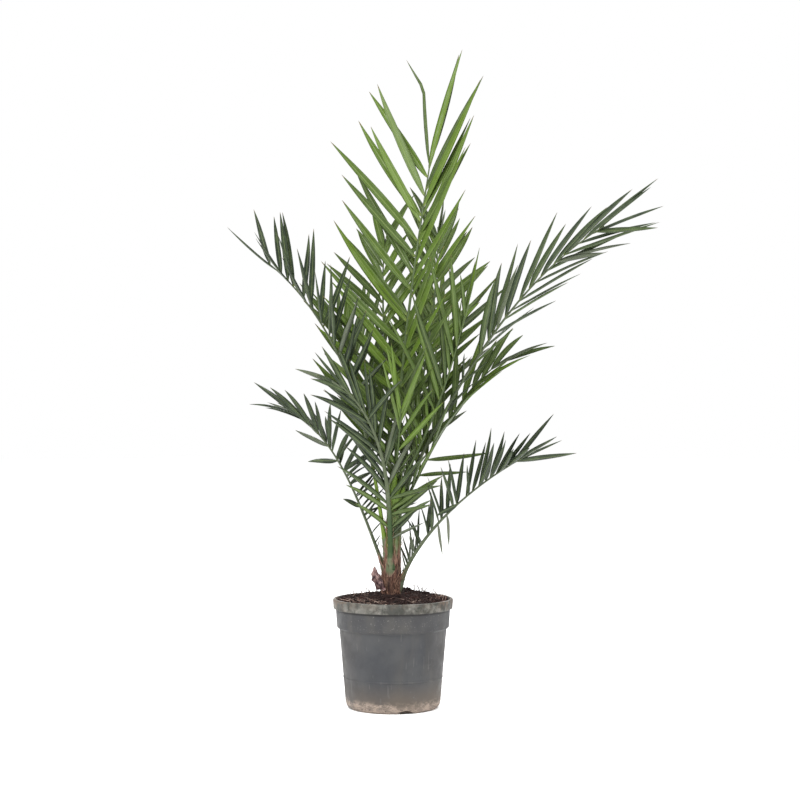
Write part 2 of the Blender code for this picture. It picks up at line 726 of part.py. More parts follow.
def place_leaflets(frond, obstacles):
    """The blades of a frond that keep clear of everything placed before. A
    leaflet that would touch swerves, and is left out where no swerve helps.
    """
    tree = tree_of(obstacles)
    placed = []
    for row in leaflets(frond):
        for swerve in SWERVES:
            space = blade_space(frond, row, swerve)
            if not tree.overlap(tree_of([space])):
                placed.append((row, swerve, space))
                break
    return placed


def build_frond(frond, obstacles, stem_space, material):
    placed = place_leaflets(frond, obstacles)
    blades = bpy.data.collections.new("blades")
    bpy.context.scene.collection.children.link(blades)
    for row, swerve, _ in placed:
        vertices, faces = blade_mesh(frond, row, swerve)
        blade = make_object("blade", vertices, faces)
        bpy.context.scene.collection.objects.unlink(blade)
        blades.objects.link(blade)
    obj = make_object(frond["name"], *stalk_mesh(frond), material)
    apply_boolean(obj, "UNION", collection=blades)
    for blade in list(blades.objects):
        bpy.data.objects.remove(blade)
    bpy.data.collections.remove(blades)
    apply_boolean(obj, "DIFFERENCE", other=stem_space)
    keep_largest_shell(obj)
    return obj, [space for _, _, space in placed]


clear_scene()

pot_plastic = make_material("pot_plastic", (0.115, 0.115, 0.12), 0.6)
soil_earth = make_material("soil_earth", (0.045, 0.028, 0.02), 0.95)
stem_fibre = make_material("stem_fibre", (0.14, 0.09, 0.05), 0.9)
dry_sheath = make_material("dry_sheath", (0.10, 0.06, 0.06), 0.9)
frond_green = make_material("frond_green", (0.09, 0.14, 0.045), 0.5)

build_pot(pot_plastic)
build_soil(soil_earth)
make_object("stem", *stem_mesh(), stem_fibre)
stub = build_stub(dry_sheath)

stem_space = make_object("stem_space", *stem_mesh(CLEARANCE))
apply_boolean(stub, "DIFFERENCE", other=stem_space)
keep_largest_shell(stub)

stalks = {frond["name"]: stalk_mesh(frond, 2 * CLEARANCE) for frond in FRONDS}
stub_space = (
    [vertex.co[:] for vertex in stub.data.vertices],
    [tuple(face.vertices) for face in stub.data.polygons],
)
spaces = []
for frond in FRONDS:
    others = [mesh for name, mesh in stalks.items() if name != frond["name"]]
    around = others + spaces + [stem_mesh(2 * CLEARANCE), stub_space]
    _, taken = build_frond(frond, around, stem_space, frond_green)
    spaces += taken
    print(frond["name"], len(taken), "of", 2 * frond["pairs"], "leaflets")

bpy.data.objects.remove(stem_space)
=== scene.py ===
import math

import bpy
import numpy as np
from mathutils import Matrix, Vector
from mathutils.bvhtree import BVHTree


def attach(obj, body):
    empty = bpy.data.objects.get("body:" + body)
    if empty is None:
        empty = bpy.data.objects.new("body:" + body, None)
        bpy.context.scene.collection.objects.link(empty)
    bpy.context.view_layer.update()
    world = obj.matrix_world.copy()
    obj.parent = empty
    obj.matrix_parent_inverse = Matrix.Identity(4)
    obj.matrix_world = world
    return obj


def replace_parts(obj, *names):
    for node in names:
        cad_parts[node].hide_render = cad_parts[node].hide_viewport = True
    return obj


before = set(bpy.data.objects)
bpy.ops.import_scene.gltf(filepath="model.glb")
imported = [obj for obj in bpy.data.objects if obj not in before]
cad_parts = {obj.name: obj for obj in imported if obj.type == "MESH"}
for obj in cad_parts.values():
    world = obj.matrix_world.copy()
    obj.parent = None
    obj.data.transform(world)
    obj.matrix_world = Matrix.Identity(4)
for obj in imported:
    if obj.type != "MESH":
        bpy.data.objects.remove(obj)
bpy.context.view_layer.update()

# Studio: the photograph's level view from 3.2 m, a plain white floor under
# the pot, an even pale surround and three broad soft lights above.

CAMERA_PLACE = (0.0128, -3.2, 0.562)
CAMERA_LENS_MM = 78.56
CAMERA_SENSOR_MM = 36.0
FLOOR_RADIUS = 14.0
FLOOR_INNERMOST = 0.02
FLOOR_THICKNESS = 0.01
FLOOR_RINGS = 12
FLOOR_SEGMENTS = 64
WHITE = (1.0, 1.0, 1.0, 1.0)
SURROUND_STRENGTH = 1.0
LIGHTS = (
    # place, size in metres, power in watts
    ((-1.6, -2.0, 3.2), 1.4, 150.0),
    ((1.8, -1.2, 2.8), 1.4, 60.0),
    ((0.2, 2.4, 2.8), 1.4, 60.0),
)
LIGHTS_AIM = (0.0, 0.0, 0.55)


def around(sides):
    """Turns, in radians, that part a full circle evenly from zero."""
    return np.arange(sides) * 2 * math.pi / sides


def stacked(*values):
    """Values side by side along a last axis, each spread to a shared shape."""
    return np.stack(np.broadcast_arrays(*values), -1)


def polar(reach, turn, height):
    """Points at this reach and turn round the upright axis, at this height."""
    return stacked(reach * np.cos(turn), reach * np.sin(turn), height)


def closed_tubes(rings, starts, ends):
    """Points, quads and triangles of many closed tubes. rings is indexed by
    tube, ring, side and axis and turns anticlockwise about the way of travel,
    and each tube is closed by a fan round its start and its end point.
    """
    tubes, count, sides = rings.shape[:3]
    starts = np.broadcast_to(starts, (tubes, 3))
    ends = np.broadcast_to(ends, (tubes, 3))
    points = np.concatenate(
        [rings.reshape(tubes, -1, 3), starts[:, None], ends[:, None]], 1
    )
    ring = np.arange(count - 1)[:, None] * sides
    side = np.arange(sides)
    turn = (side + 1) % sides
    quads = [ring + side, ring + turn, ring + sides + turn, ring + sides + side]
    quads = np.stack(quads, -1).reshape(-1, 4)
    last = (count - 1) * sides
    start = np.full(sides, count * sides)
    fans = np.concatenate([
        np.stack([start, turn, side], -1),
        np.stack([last + side, last + turn, start + 1], -1),
    ])
    shift = (np.arange(tubes) * (count * sides + 2))[:, None, None]
    return points.reshape(-1, 3), (quads + shift).reshape(-1, 4), (fans + shift).reshape(-1, 3)


def new_piece(name, shape, material, slot):
    """A smooth-shaded object that holds these points, quads and triangles."""
    points, quads, fans = shape
    corners = np.concatenate([quads.ravel(), fans.ravel()])
    firsts = np.concatenate([
        np.arange(len(quads)) * 4,
        4 * len(quads) + np.arange(len(fans)) * 3,
    ])
    mesh = bpy.data.meshes.new(name)
    mesh.vertices.add(len(points))
    mesh.vertices.foreach_set("co", np.asarray(points, np.float32).ravel())
    mesh.loops.add(len(corners))
    mesh.loops.foreach_set("vertex_index", corners.astype(np.int32))
    mesh.polygons.add(len(firsts))
    mesh.polygons.foreach_set("loop_start", firsts.astype(np.int32))
    mesh.update(calc_edges=True)
    mesh.shade_smooth()
    mesh.materials.append(material)
    obj = bpy.data.objects.new(name, mesh)
    bpy.context.scene.collection.objects.link(obj)
    if slot:
        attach(obj, "root")
    return obj


camera_data = bpy.data.cameras.new("camera")
camera_data.lens = CAMERA_LENS_MM
camera_data.sensor_width = CAMERA_SENSOR_MM
camera = bpy.data.objects.new("camera", camera_data)
camera.location = CAMERA_PLACE
camera.rotation_euler = (math.pi / 2, 0, 0)
bpy.context.scene.collection.objects.link(camera)
bpy.context.scene.camera = camera
bpy.context.scene.view_settings.view_transform = "Standard"

surround = bpy.data.worlds.new("surround")
surround.use_nodes = True
surround.node_tree.nodes["Background"].inputs["Color"].default_value = WHITE
surround.node_tree.nodes["Background"].inputs["Strength"].default_value = SURROUND_STRENGTH
bpy.context.scene.world = surround

for number, (place, size, power) in enumerate(LIGHTS):
    light_data = bpy.data.lights.new(f"soft_light_{number}", "AREA")
    light_data.shape = "DISK"
    light_data.size = size
    light_data.energy = power
    light = bpy.data.objects.new(f"soft_light_{number}", light_data)
    light.location = place
    aim = Vector(LIGHTS_AIM) - light.location
    light.rotation_euler = aim.to_track_quat("-Z", "Y").to_euler()
    bpy.context.scene.collection.objects.link(light)

floor_paint = bpy.data.materials.new("floor_paint")
floor_paint.use_nodes = True
floor_shader = floor_paint.node_tree.nodes["Principled BSDF"]
floor_shader.inputs["Base Color"].default_value = WHITE
floor_shader.inputs["Roughness"].default_value = 1.0
floor_reach = np.linspace(1, FLOOR_INNERMOST, FLOOR_RINGS)[:, None] * FLOOR_RADIUS
floor_rings = polar(floor_reach, around(FLOOR_SEGMENTS), 0.0)[None]
floor_shape = closed_tubes(floor_rings, (0, 0, -FLOOR_THICKNESS), (0, 0, 0))
floor = new_piece("floor", floor_shape, floor_paint, None)
floor.data.shade_flat()

# Pot: a round nursery pot moulded in grey plastic, with a rolled lip, a band
# and a step under it, a faint moulding ring near the foot and four drain
# arches. It is dusty and scuffed, with tan limescale where it stood wet. Its
# wall carries a painted sheen that lightens it towards the left and right
# sides, and the step under the lip carries a painted shadow.

POT_CORNERS = (
    # height and radius, from the axis over the outside to the axis within
    (0.0, 0.0), (0.0, 0.0795), (0.0015, 0.0822), (0.006, 0.0855), (0.014, 0.0872),
    (0.055, 0.0907), (0.0553, 0.0913), (0.0577, 0.0915), (0.058, 0.0909),
    (0.144, 0.0983), (0.1475, 0.1028), (0.1795, 0.1048), (0.1815, 0.1092),
    (0.197, 0.1102), (0.199, 0.1090), (0.199, 0.1045), (0.182, 0.1028),
    (0.1475, 0.1008), (0.141, 0.0958), (0.014, 0.0852), (0.005, 0.0825),
    (0.0025, 0.0785), (0.0025, 0.0),
)
POT_ROUNDING = 0.0009
POT_SEGMENTS = 256
DRAIN_TURNS = (286.0, 16.0, 106.0, 196.0)
DRAIN_ARCH_RADIUS = 0.024
DRAIN_ARCH_RISE = 0.0065
DRAIN_REACH = (0.074, 0.095)
DRAIN_SEGMENTS = 72
BAND_START = (0.1435, 0.1475)
LIP_START = (0.1795, 0.1812)
CRUST_TOP = (0.034, 0.018)
CRUST_WAVER = 0.016


def rounded_path(corners, reach, steps=5):
    """Path through the corners with each one rounded by a quadratic curve
    that starts and ends this reach from it, or nearly half way to its
    neighbour where that is less.
    """
    corners = np.asarray(corners, float)
    at = corners[1:-1]
    curves = []
    for neighbour in (corners[:-2], corners[2:]):
        way = neighbour - at
        length = np.linalg.norm(way, axis=1, keepdims=True)
        curves.append(at + way / length * np.minimum(reach, 0.45 * length))
    share = np.linspace(0, 1, steps)[:, None]
    near, far = curves[0][:, None], curves[1][:, None]
    curve = (1 - share) ** 2 * near + 2 * share * (1 - share) * at[:, None] + share ** 2 * far
    return np.concatenate([corners[:1], curve.reshape(-1, 2), corners[-1:]])


def level_ways(turn):
    """Level unit vectors: outward at this turn, and sideways to its left."""
    outward = polar(1.0, turn, 0.0)
    return outward, np.cross([0.0, 0.0, 1.0], outward)


def srgb(red, green, blue):
    """Linear colour from the usual 0 to 255 values: the sRGB curve undone."""
    share = np.array([red, green, blue]) / 255
    linear = np.where(share <= 0.04045, share / 12.92, ((share + 0.055) / 1.055) ** 2.4)
    return (*map(float, linear), 1.0)


def feed(node, inputs):
    """Sets or links a node's inputs, given by name or number, each a value
    or another node's output.
    """
    for key, value in dict(inputs).items():
        if isinstance(value, bpy.types.NodeSocket):
            node.id_data.links.new(value, node.inputs[key])
        else:
            node.inputs[key].default_value = value


def new_material(name):
    """A material, a maker of its nodes, and the place on the object. The
    maker takes the node's kind, inputs, settings and wanted output.
    """
    material = bpy.data.materials.new(name)
    material.use_nodes = True

    def add(kind, inputs=(), settings=(), out=0):
        node = material.node_tree.nodes.new("ShaderNode" + kind)
        for key, value in dict(settings).items():
            setattr(node, key, value)
        feed(node, inputs)
        return node.outputs[out]

    return material, add, add("TexCoord", out="Object")


def axes_of(add, place):
    """The three numbers of a place."""
    return add("SeparateXYZ", {"Vector": place}).node.outputs


def mixed(add, share, one, other):
    """Colour that goes from one to the other as the share goes from 0 to 1."""
    return add("Mix", {0: share, 6: one, 7: other}, {"data_type": "RGBA"}, out=2)


def times(add, one, other):
    return add("Math", {0: one, 1: other}, {"operation": "MULTIPLY"})


def plus(add, one, other):
    return add("Math", {0: one, 1: other}, {"operation": "ADD"})


def size_of(add, value):
    return add("Math", {0: value}, {"operation": "ABSOLUTE"})


def shaded(add, value, low, high, one, other):
    """Colour that goes from one to the other over this range of the value."""
    return mixed(add, spread_over(add, value, low, high), srgb(*one), srgb(*other))


def layered(add, colour, *layers):
    """Colour with further colours laid over it in turn. Each layer gives
    where it lies, from 0 to 1, how much it covers there, and its colour.
    """
    for where, cover, paint in layers:
        colour = mixed(add, times(add, where, cover), colour, srgb(*paint))
    return colour


def spread_over(add, value, low, high, first=0.0, last=1.0):
    """Value taken from its range low to high onto first to last, and held."""
    inputs = {"Value": value, 1: low, 2: high, 3: first, 4: last}
    return add("MapRange", inputs, {"interpolation_type": "SMOOTHSTEP"})


def noise(add, place, scale, detail=3.0, stretch=(1, 1, 1), rough=0.55):
    """Cloudy noise from 0 to 1 on these coordinates, stretched by axis."""
    moved = add("Mapping", {"Vector": place, "Scale": stretch})
    inputs = {"Vector": moved, "Scale": scale, "Detail": detail, "Roughness": rough}
    return add("TexNoise", inputs)


def patches(add, place, scale, detail, low, high, stretch=(1, 1, 1), rough=0.55):
    """Noise that is 0 below the low value and 1 above the high one."""
    return spread_over(add, noise(add, place, scale, detail, stretch, rough), low, high)


def finish(material, add, colour, light, roughness, relief, specular=0.5):
    """Feeds the material's shader: the colour dimmed to this light, the
    roughness, the relief as strength, depth and height, and the specular.
    """
    strength, depth, height = relief
    feed(material.node_tree.nodes["Principled BSDF"], {
        "Base Color": add("HueSaturation", {"Value": light, "Color": colour}),
        "Roughness": roughness,
        "Specular IOR Level": specular,
        "Normal": add("Bump", {"Strength": strength, "Distance": depth, "Height": height}),
    })


pot_skin, add, place = new_material("pot_skin")
across_pot, _, height = axes_of(add, place)
flank = size_of(add, across_pot)
damp = times(
    add, spread_over(add, height, 0.062, 0.012),
    spread_over(add, noise(add, place, 9, 4, (1, 1, 0.5)), 0.25, 0.65, 0.35, 1.0),
)
wall = layered(
    add, shaded(add, noise(add, place, 14, 5), 0.35, 0.68, (78, 80, 85), (92, 93, 95)),
    (patches(add, place, 22, 4, 0.50, 0.72, (1, 1, 0.18)), 0.45, (110, 106, 100)),
    # Painted sheen: the wall is painted lighter towards its left and right flanks, in place of
    # the grazing reflection of the pale surround.
    (spread_over(add, flank, 0.045, 0.10), 0.45, (108, 102, 95)),
    (damp, 1.0, (128, 116, 104)),
)
cloud = noise(add, place, 30, 5, (1, 1, 0.4))
band = layered(
    add, shaded(add, cloud, 0.4, 0.7, (86, 86, 88), (102, 100, 97)),
    (patches(add, place, 420, 2, 0.66, 0.72), 0.75, (176, 174, 168)),
)
algae = times(
    add, patches(add, place, 38, 6, 0.46, 0.60, rough=0.7),
    spread_over(add, across_pot, -0.12, 0.09, 0.35, 1.0),
)
earthy = times(
    add, patches(add, place, 70, 5, 0.44, 0.58, rough=0.7),
    times(
        add, spread_over(add, height, 0.184, 0.197, 0.3, 1.0),
        spread_over(add, flank, 0.06, 0.10, 0.3, 1.0),
    ),
)
cloud = noise(add, place, 40, 6, rough=0.68)
lip = layered(
    add, shaded(add, cloud, 0.40, 0.64, (86, 86, 80), (170, 167, 158)),
    (algae, 0.85, (64, 66, 56)),
    (earthy, 0.7, (144, 120, 102)),
)
body = mixed(add, spread_over(add, height, *BAND_START), wall, band)
wavering = plus(add, height, times(add, noise(add, place, 30, 3), CRUST_WAVER))
crust = plus(
    add, patches(add, place, 75, 7, 0.44, 0.60, (1, 1, 1.8), 0.72),
    spread_over(add, height, 0.020, 0.008, 0.0, 0.45),
)
crust = add("Clamp", {0: times(add, spread_over(add, wavering, *CRUST_TOP), crust)})
soot = times(
    add, spread_over(add, height, 0.016, 0.008),
    patches(add, place, 150, 4, 0.56, 0.64, (1, 1, 1.6), 0.7),
)
scuff = times(
    add, patches(add, place, 85, 4, 0.62, 0.72, (1, 1, 1.4), 0.75),
    patches(add, place, 24, 2, 0.50, 0.62),
)
on_ring = times(
    add, spread_over(add, height, 0.0545, 0.0555), spread_over(add, height, 0.0590, 0.0580)
)
# Painted shadow: a dark band in the step under the lip, where the overhanging lip casts its
# shade.
painted_shadow_under_lip = times(
    add, spread_over(add, height, 0.176, 0.1795), spread_over(add, height, 0.1825, 0.1800)
)
colour = layered(
    add, mixed(add, spread_over(add, height, *LIP_START), body, lip),
    (crust, 0.85, (220, 198, 180)),
    (soot, 0.8, (52, 44, 40)),
    (scuff, 0.45, (142, 142, 144)),
    (patches(add, place, 230, 2, 0.665, 0.69, (1, 1, 0.06)), 0.35, (136, 134, 130)),
    (
        times(add, on_ring, patches(add, place, 60, 4, 0.50, 0.66, (1, 1, 0.1))),
        0.35, (132, 128, 122),
    ),
    # painted shadow in the step under the lip
    (painted_shadow_under_lip, 0.85, (38, 36, 35)),
)
gloss = spread_over(add, noise(add, place, 34, 4), 0.3, 0.7, 0.50, 0.74)
grain = plus(
    add, times(add, noise(add, place, 900, 2), 0.5),
    plus(add, times(add, crust, 1.2), times(add, scuff, -0.6)),
)
finish(pot_skin, add, colour, 0.40, gloss, (0.5, 0.0004, grain), 0.32)

pot_path = rounded_path(POT_CORNERS, POT_ROUNDING)
pot_rings = polar(pot_path[1:-1, 1:], around(POT_SEGMENTS), pot_path[1:-1, :1])[None]
pot_shape = closed_tubes(pot_rings, (0, 0, 0), (0, 0, pot_path[-1, 0]))
pot = new_piece("nursery_pot", pot_shape, pot_skin, "pot_plastic")
wide, tall = DRAIN_ARCH_RADIUS * polar(1.0, around(DRAIN_SEGMENTS), 0.0).T[:2, :, None]
tall = (tall - DRAIN_ARCH_RADIUS + DRAIN_ARCH_RISE) * np.array([0.0, 0.0, 1.0])
for number, drain_turn in enumerate(np.radians(DRAIN_TURNS)):
    outward, sideways = level_ways(drain_turn)
    reach = np.array(DRAIN_REACH)[:, None, None]
    rings = reach * outward + wide * sideways + tall
    cutter_shape = closed_tubes(rings[None], *rings.mean(1))
    cutter = new_piece(f"arch_{number}", cutter_shape, pot_skin, None)
    cut = pot.modifiers.new("drain", "BOOLEAN")
    cut.operation = "DIFFERENCE"
    cut.solver = "MANIFOLD"
    cut.object = cutter
    cut_mesh = bpy.data.meshes.new_from_object(
        pot.evaluated_get(bpy.context.evaluated_depsgraph_get())
    )
    pot.modifiers.clear()
    pot.data = cut_mesh
    bpy.data.objects.remove(cutter)
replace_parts(pot, "pot")

# Soil: a root ball of dark peat, mounded round the stem, with crumbs and bits
# of bark on top and straw-like fibres, some of which stand over the rim.

# From the pad under the stem out to the pot's wall.
SOIL_RADII = (0.026, 0.1028)
SOIL_HEIGHTS = (0.2057, 0.1955)
SOIL_SLOPE_POWER = 0.8
SOIL_MOUND_RISE = 0.008
SOIL_MOUND_PLACE = (0.0205, 0.0564)
SOIL_MOUND_SPREAD = 0.040
SOIL_LUMP_HEIGHT = 0.0007
SOIL_LUMP_WAVES = (
    # turns for each metre in x and in y, start, share
    (190, 60, 0, 1.0), (-80, 150, 1, 1.0), (330, -240, 2, 0.7), (210, 380, 0, 0.7),
)
SOIL_RELIEF = 0.0011
SOIL_RELIEF_LENGTHS = (0.0035, 0.016)
SOIL_RELIEF_FADE = 0.006
SOIL_SIDE = (
    # height and radius, up the inside of the pot
    (0.0028, 0.0645), (0.0148, 0.0838), (0.140, 0.0948), (0.150, 0.0999),
)
SOIL_INNERMOST = 0.002
SOIL_RINGS = 110
SOIL_SEGMENTS = 300
CRUMBS = 2600
CRUMB_REACH = (0.022, 0.0995)
CRUMB_SIZES = (0.0008, 0.0034)
CRUMB_SIZE_POWER = 2.5
CRUMB_SIDES = 7
CRUMB_RISES = (-52, -18, 18, 52)
CRUMB_UNEVEN = 0.32
CRUMB_STRETCH = (0.55, 1.25)
CRUMB_LIFT = 0.3
STRAWS = 170
HEAPED_STRAWS = 80
STRAW_REACH = (0.026, 0.098)
HEAP_REACH = (0.060, 0.096)
HEAP_TURNS = (200.0, 262.0)
STRAW_LIFT = 0.0012
STRAW_RISES = (-3, 22)
STRAW_INWARD = 0.55
STRAW_LENGTHS = (0.008, 0.034)
STRAW_BEND = (0.5, 0.2)
STRAW_RADIUS = 0.00032
TUBE_TAPER = (1.05, 0.30)
TUBE_OFF_WAY = (0.31, 0.17, 0.93)
RIM_STRAWS = 64
RIM_STRAW_RADIUS = 0.00062
RIM_TURNS = (-24.0, 150.0)
RIM_TURN_POWER = 1.3
RIM_REACH = (0.080, 0.0985)
RIM_LENGTHS = (0.010, 0.024)
RIM_BEND = (0.35, 0.3)
RIM_WAYS = ((-0.9, 0.6), (-0.5, 0.3), (0.7, 1.6))


def between(pair, share):
    """Value that goes from the pair's first to its second with the share."""
    return pair[0] + (pair[1] - pair[0]) * share


def share_of(value, pair):
    """How far the value is from the pair's first to its second."""
    return (value - pair[0]) / (pair[1] - pair[0])


def unit(way):
    return way / np.linalg.norm(way, axis=-1, keepdims=True)


def wave_sum(place, count, shortest, longest, seed):
    """Uneven relief from -1 to 1 or so: the sum of many waves of random
    direction, length between the two given, and start, over the root of
    their number.
    """
    chance = np.random.RandomState(seed)
    length = np.exp(chance.uniform(math.log(shortest), math.log(longest), count))
    way = unit(chance.normal(size=(count, place.shape[-1])))
    start = chance.uniform(0, 2 * math.pi, count)
    waves = np.sin(place @ (way * 2 * math.pi / length[:, None]).T + start)
    return waves.sum(-1) / math.sqrt(count)


def soil_height(x, y):
    """Height of the soil: a cone from the pad to the wall, a mound behind the
    stem, and four waves for the lumps, which fade out at pad and wall.
    """
    share = np.clip(share_of(np.hypot(x, y), SOIL_RADII), 0, 1)
    level = between(SOIL_HEIGHTS, share ** SOIL_SLOPE_POWER)
    apart = (x - SOIL_MOUND_PLACE[0]) ** 2 + (y - SOIL_MOUND_PLACE[1]) ** 2
    fade = np.minimum(1, 4 * share) * np.minimum(1, 5 * (1 - share))
    level = level + SOIL_MOUND_RISE * np.exp(-apart / SOIL_MOUND_SPREAD ** 2) * fade
    lumps = sum(
        part * np.sin(in_x * x + in_y * y + start)
        for in_x, in_y, start, part in SOIL_LUMP_WAVES
    )
    return level + SOIL_LUMP_HEIGHT * lumps * fade


soil_skin, add, place = new_material("soil_skin")
crumbly = noise(add, place, 160, 6, rough=0.7)
colour = layered(
    add, shaded(add, crumbly, 0.35, 0.68, (30, 17, 15), (66, 42, 37)),
    (patches(add, place, 520, 3, 0.64, 0.72), 0.30, (112, 84, 74)),
    (patches(add, place, 60, 3, 0.52, 0.7), 0.5, (88, 50, 40)),
)
lumpy = plus(add, crumbly, noise(add, place, 600, 4, rough=0.7))
finish(soil_skin, add, colour, 0.42, 0.95, (0.9, 0.0012, lumpy), 0.25)

turn = around(SOIL_SEGMENTS)
radius = np.linspace(SOIL_RADII[1], SOIL_INNERMOST, SOIL_RINGS)[:, None]
x, y = radius * np.cos(turn), radius * np.sin(turn)
relief = SOIL_RELIEF * wave_sum(stacked(x, y), 60, *SOIL_RELIEF_LENGTHS, 3)
relief = relief * np.minimum(1, (SOIL_RADII[1] - radius) / SOIL_RELIEF_FADE)
soil_top = stacked(x, y, soil_height(x, y) + relief)
side_height, side_radius = np.array(SOIL_SIDE).T[..., None]
soil_rings = np.concatenate([polar(side_radius, turn, side_height), soil_top])[None]
soil_shape = closed_tubes(soil_rings, (0, 0, SOIL_SIDE[0][0]), soil_top[-1].mean(0))
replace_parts(new_piece("root_ball", soil_shape, soil_skin, "soil_earth"), "soil")


def on_soil(reach, turn):
    """Points on the soil at this reach and turn from the upright axis."""
    x, y = reach * np.cos(turn), reach * np.sin(turn)
    return stacked(x, y, soil_height(x, y))


def scattered_on_soil(chance, count, least, most, turns=(0, 2 * math.pi)):
    """Random places on the soil between two radii and two turns, even by area."""
    turn = chance.uniform(*turns, count)
    return on_soil(np.sqrt(chance.uniform(least ** 2, most ** 2, count)), turn)


chance = np.random.RandomState(5)
crumb_place = scattered_on_soil(chance, CRUMBS, *CRUMB_REACH)
crumb_size = between(CRUMB_SIZES, chance.uniform(0, 1, CRUMBS) ** CRUMB_SIZE_POWER)
crumb_rise = np.radians(CRUMB_RISES)[:, None]
ball = polar(np.cos(crumb_rise), around(CRUMB_SIDES), np.sin(crumb_rise))
uneven = 1 + chance.uniform(-CRUMB_UNEVEN, CRUMB_UNEVEN, (CRUMBS, *ball.shape[:2], 1))
axes = np.linalg.qr(chance.normal(size=(CRUMBS, 3, 3)))[0]
axes = axes * np.linalg.det(axes)[:, None, None]
stretch = crumb_size[:, None] * chance.uniform(*CRUMB_STRETCH, (CRUMBS, 3))
crumb_place[:, 2] += CRUMB_LIFT * crumb_size
crumb_rings = (ball * uneven * stretch[:, None, None]) @ axes[:, None]
caps = np.array([[0, 0, -1.0], [0, 0, 1.0]]) * stretch[:, None] @ axes
caps = caps + crumb_place[:, None]
crumb_shape = closed_tubes(crumb_rings + crumb_place[:, None, None], caps[:, 0], caps[:, 1])
new_piece("soil_crumbs", crumb_shape, soil_skin, "soil_earth")


def ringed(middle, wide, across, deep, face):
    """Rings of points about their middle points: each point is moved by wide
    along across and by deep along face.
    """
    wide, deep = wide[..., None], deep[..., None]
    return middle[..., None, :] + wide * across[..., None, :] + deep * face[..., None, :]


def bent_tubes(foot, way, bend, length, radius, steps=9, sides=5):
    """Thin tubes from their feet: each runs its length along its way, and is
    carried sideways by its bend and tapered as the square of the share run.
    """
    share = np.linspace(0, 1, steps)[None, :, None]
    middle = foot[:, None] + way[:, None] * length[:, None, None] * share
    middle = middle + bend[:, None] * share ** 2
    along = unit(np.gradient(middle, axis=1))
    across = unit(np.cross(along, TUBE_OFF_WAY))
    up = np.cross(along, across)
    size = np.broadcast_to(radius, length.shape)[:, None, None]
    size = size * between(TUBE_TAPER, share ** 2)
    turn = around(sides)
    rings = ringed(middle, size * np.cos(turn), across, size * np.sin(turn), up)
    return closed_tubes(rings, middle[:, 0], middle[:, -1])


def random_bends(chance, length, most, upright):
    """Bends of up to this share of each length, less by upright in height."""
    return chance.uniform(-most, most, (len(length), 3)) * length[:, None] * (1, 1, upright)


straw_skin, add, place = new_material("straw_skin")
standing = spread_over(add, axes_of(add, place)["Z"], 0.2015, 0.2055)
colour = layered(
    add, shaded(add, noise(add, place, 90, 3), 0.38, 0.62, (118, 88, 76), (206, 180, 164)),
    (standing, 0.9, (96, 78, 70)),
)
finish(straw_skin, add, colour, 0.75, 0.8, (0.6, 0.0003, noise(add, place, 1500, 2, (1, 1, 0.3))))

straw_place = np.concatenate([
    scattered_on_soil(chance, STRAWS - HEAPED_STRAWS, *STRAW_REACH),
    scattered_on_soil(chance, HEAPED_STRAWS, *HEAP_REACH, np.radians(HEAP_TURNS)),
])
straw_place[:, 2] += STRAW_LIFT
straw_turn = chance.uniform(0, 2 * math.pi, STRAWS)
straw_rise = np.radians(chance.uniform(*STRAW_RISES, STRAWS) * chance.uniform(0, 1, STRAWS))
way = polar(1.0, straw_turn, np.tan(straw_rise))
way[:, :2] -= STRAW_INWARD * unit(straw_place[:, :2])
length = chance.uniform(*STRAW_LENGTHS, STRAWS) * chance.uniform(0.4, 1, STRAWS)
bend = random_bends(chance, length, *STRAW_BEND)
radius = STRAW_RADIUS * chance.uniform(0.6, 1.5, STRAWS)
straw_shape = bent_tubes(straw_place, unit(way), bend, length, radius)
new_piece("soil_straws", straw_shape, straw_skin, "soil_earth")

rim_turn = between(RIM_TURNS, chance.uniform(0, 1, RIM_STRAWS) ** RIM_TURN_POWER)
rim_place = on_soil(chance.uniform(*RIM_REACH, RIM_STRAWS), np.radians(rim_turn))
way = stacked(*(chance.uniform(*limits, RIM_STRAWS) for limits in RIM_WAYS))
length = chance.uniform(*RIM_LENGTHS, RIM_STRAWS)
bend = random_bends(chance, length, *RIM_BEND)
rim_shape = bent_tubes(rim_place, unit(way), bend, length, RIM_STRAW_RADIUS)
new_piece("rim_straws", rim_shape, straw_skin, "soil_earth")

# Stem: a short young trunk of overlapping dry leaf sheaths, brown and fibrous
# at the foot and turning green where the living stalks crowd together.

STEM_PROFILE = (
    # height and radius
    (0.2060, 0.0180), (0.2100, 0.0172), (0.2250, 0.0186), (0.2380, 0.0182),
    (0.2500, 0.0168), (0.2700, 0.0152), (0.3000, 0.0142), (0.3300, 0.0130),
    (0.3600, 0.0116), (0.3850, 0.0100), (0.4020, 0.0085), (0.4150, 0.0070),
    (0.4220, 0.0050),
)
STEM_ENDS = (STEM_PROFILE[0][0], STEM_PROFILE[-1][0])
STEM_LEAN = (-0.004, 0.004)
STEM_RINGS = 260
STEM_SEGMENTS = 128
STEM_GRAIN = 0.00035
STEM_GRAIN_LENGTHS = (0.0016, 0.006)
STEM_GRAIN_ROUND = 0.02
STEM_GRAIN_STRETCH = 0.12
SHEATHS = 22
SHEATH_FEET = (0.200, 0.405)
SHEATH_FEET_POWER = 1.15
SHEATH_FIRST_TURN = 250.0
SHEATH_TURN = 137.5
SHEATH_RISE = 0.034
SHEATH_THICKNESS = 0.0024
SHEATH_SUNK = 0.55
SHEATH_HALF_TURN = 62.0
SHEATH_POINT_POWER = 1.4
SHEATH_START = 0.010
SHEATH_LIP = 0.0016
SHEATH_SIDE_FALL = 6
SHEATH_FADE = (
    # height and share of the thickness
    (0.206, 1.0), (0.30, 0.8), (0.42, 0.4),
)
FIBRES = 640
FIBRE_HEIGHTS = (0.207, 0.367)
FIBRE_HEIGHT_POWER = 1.9
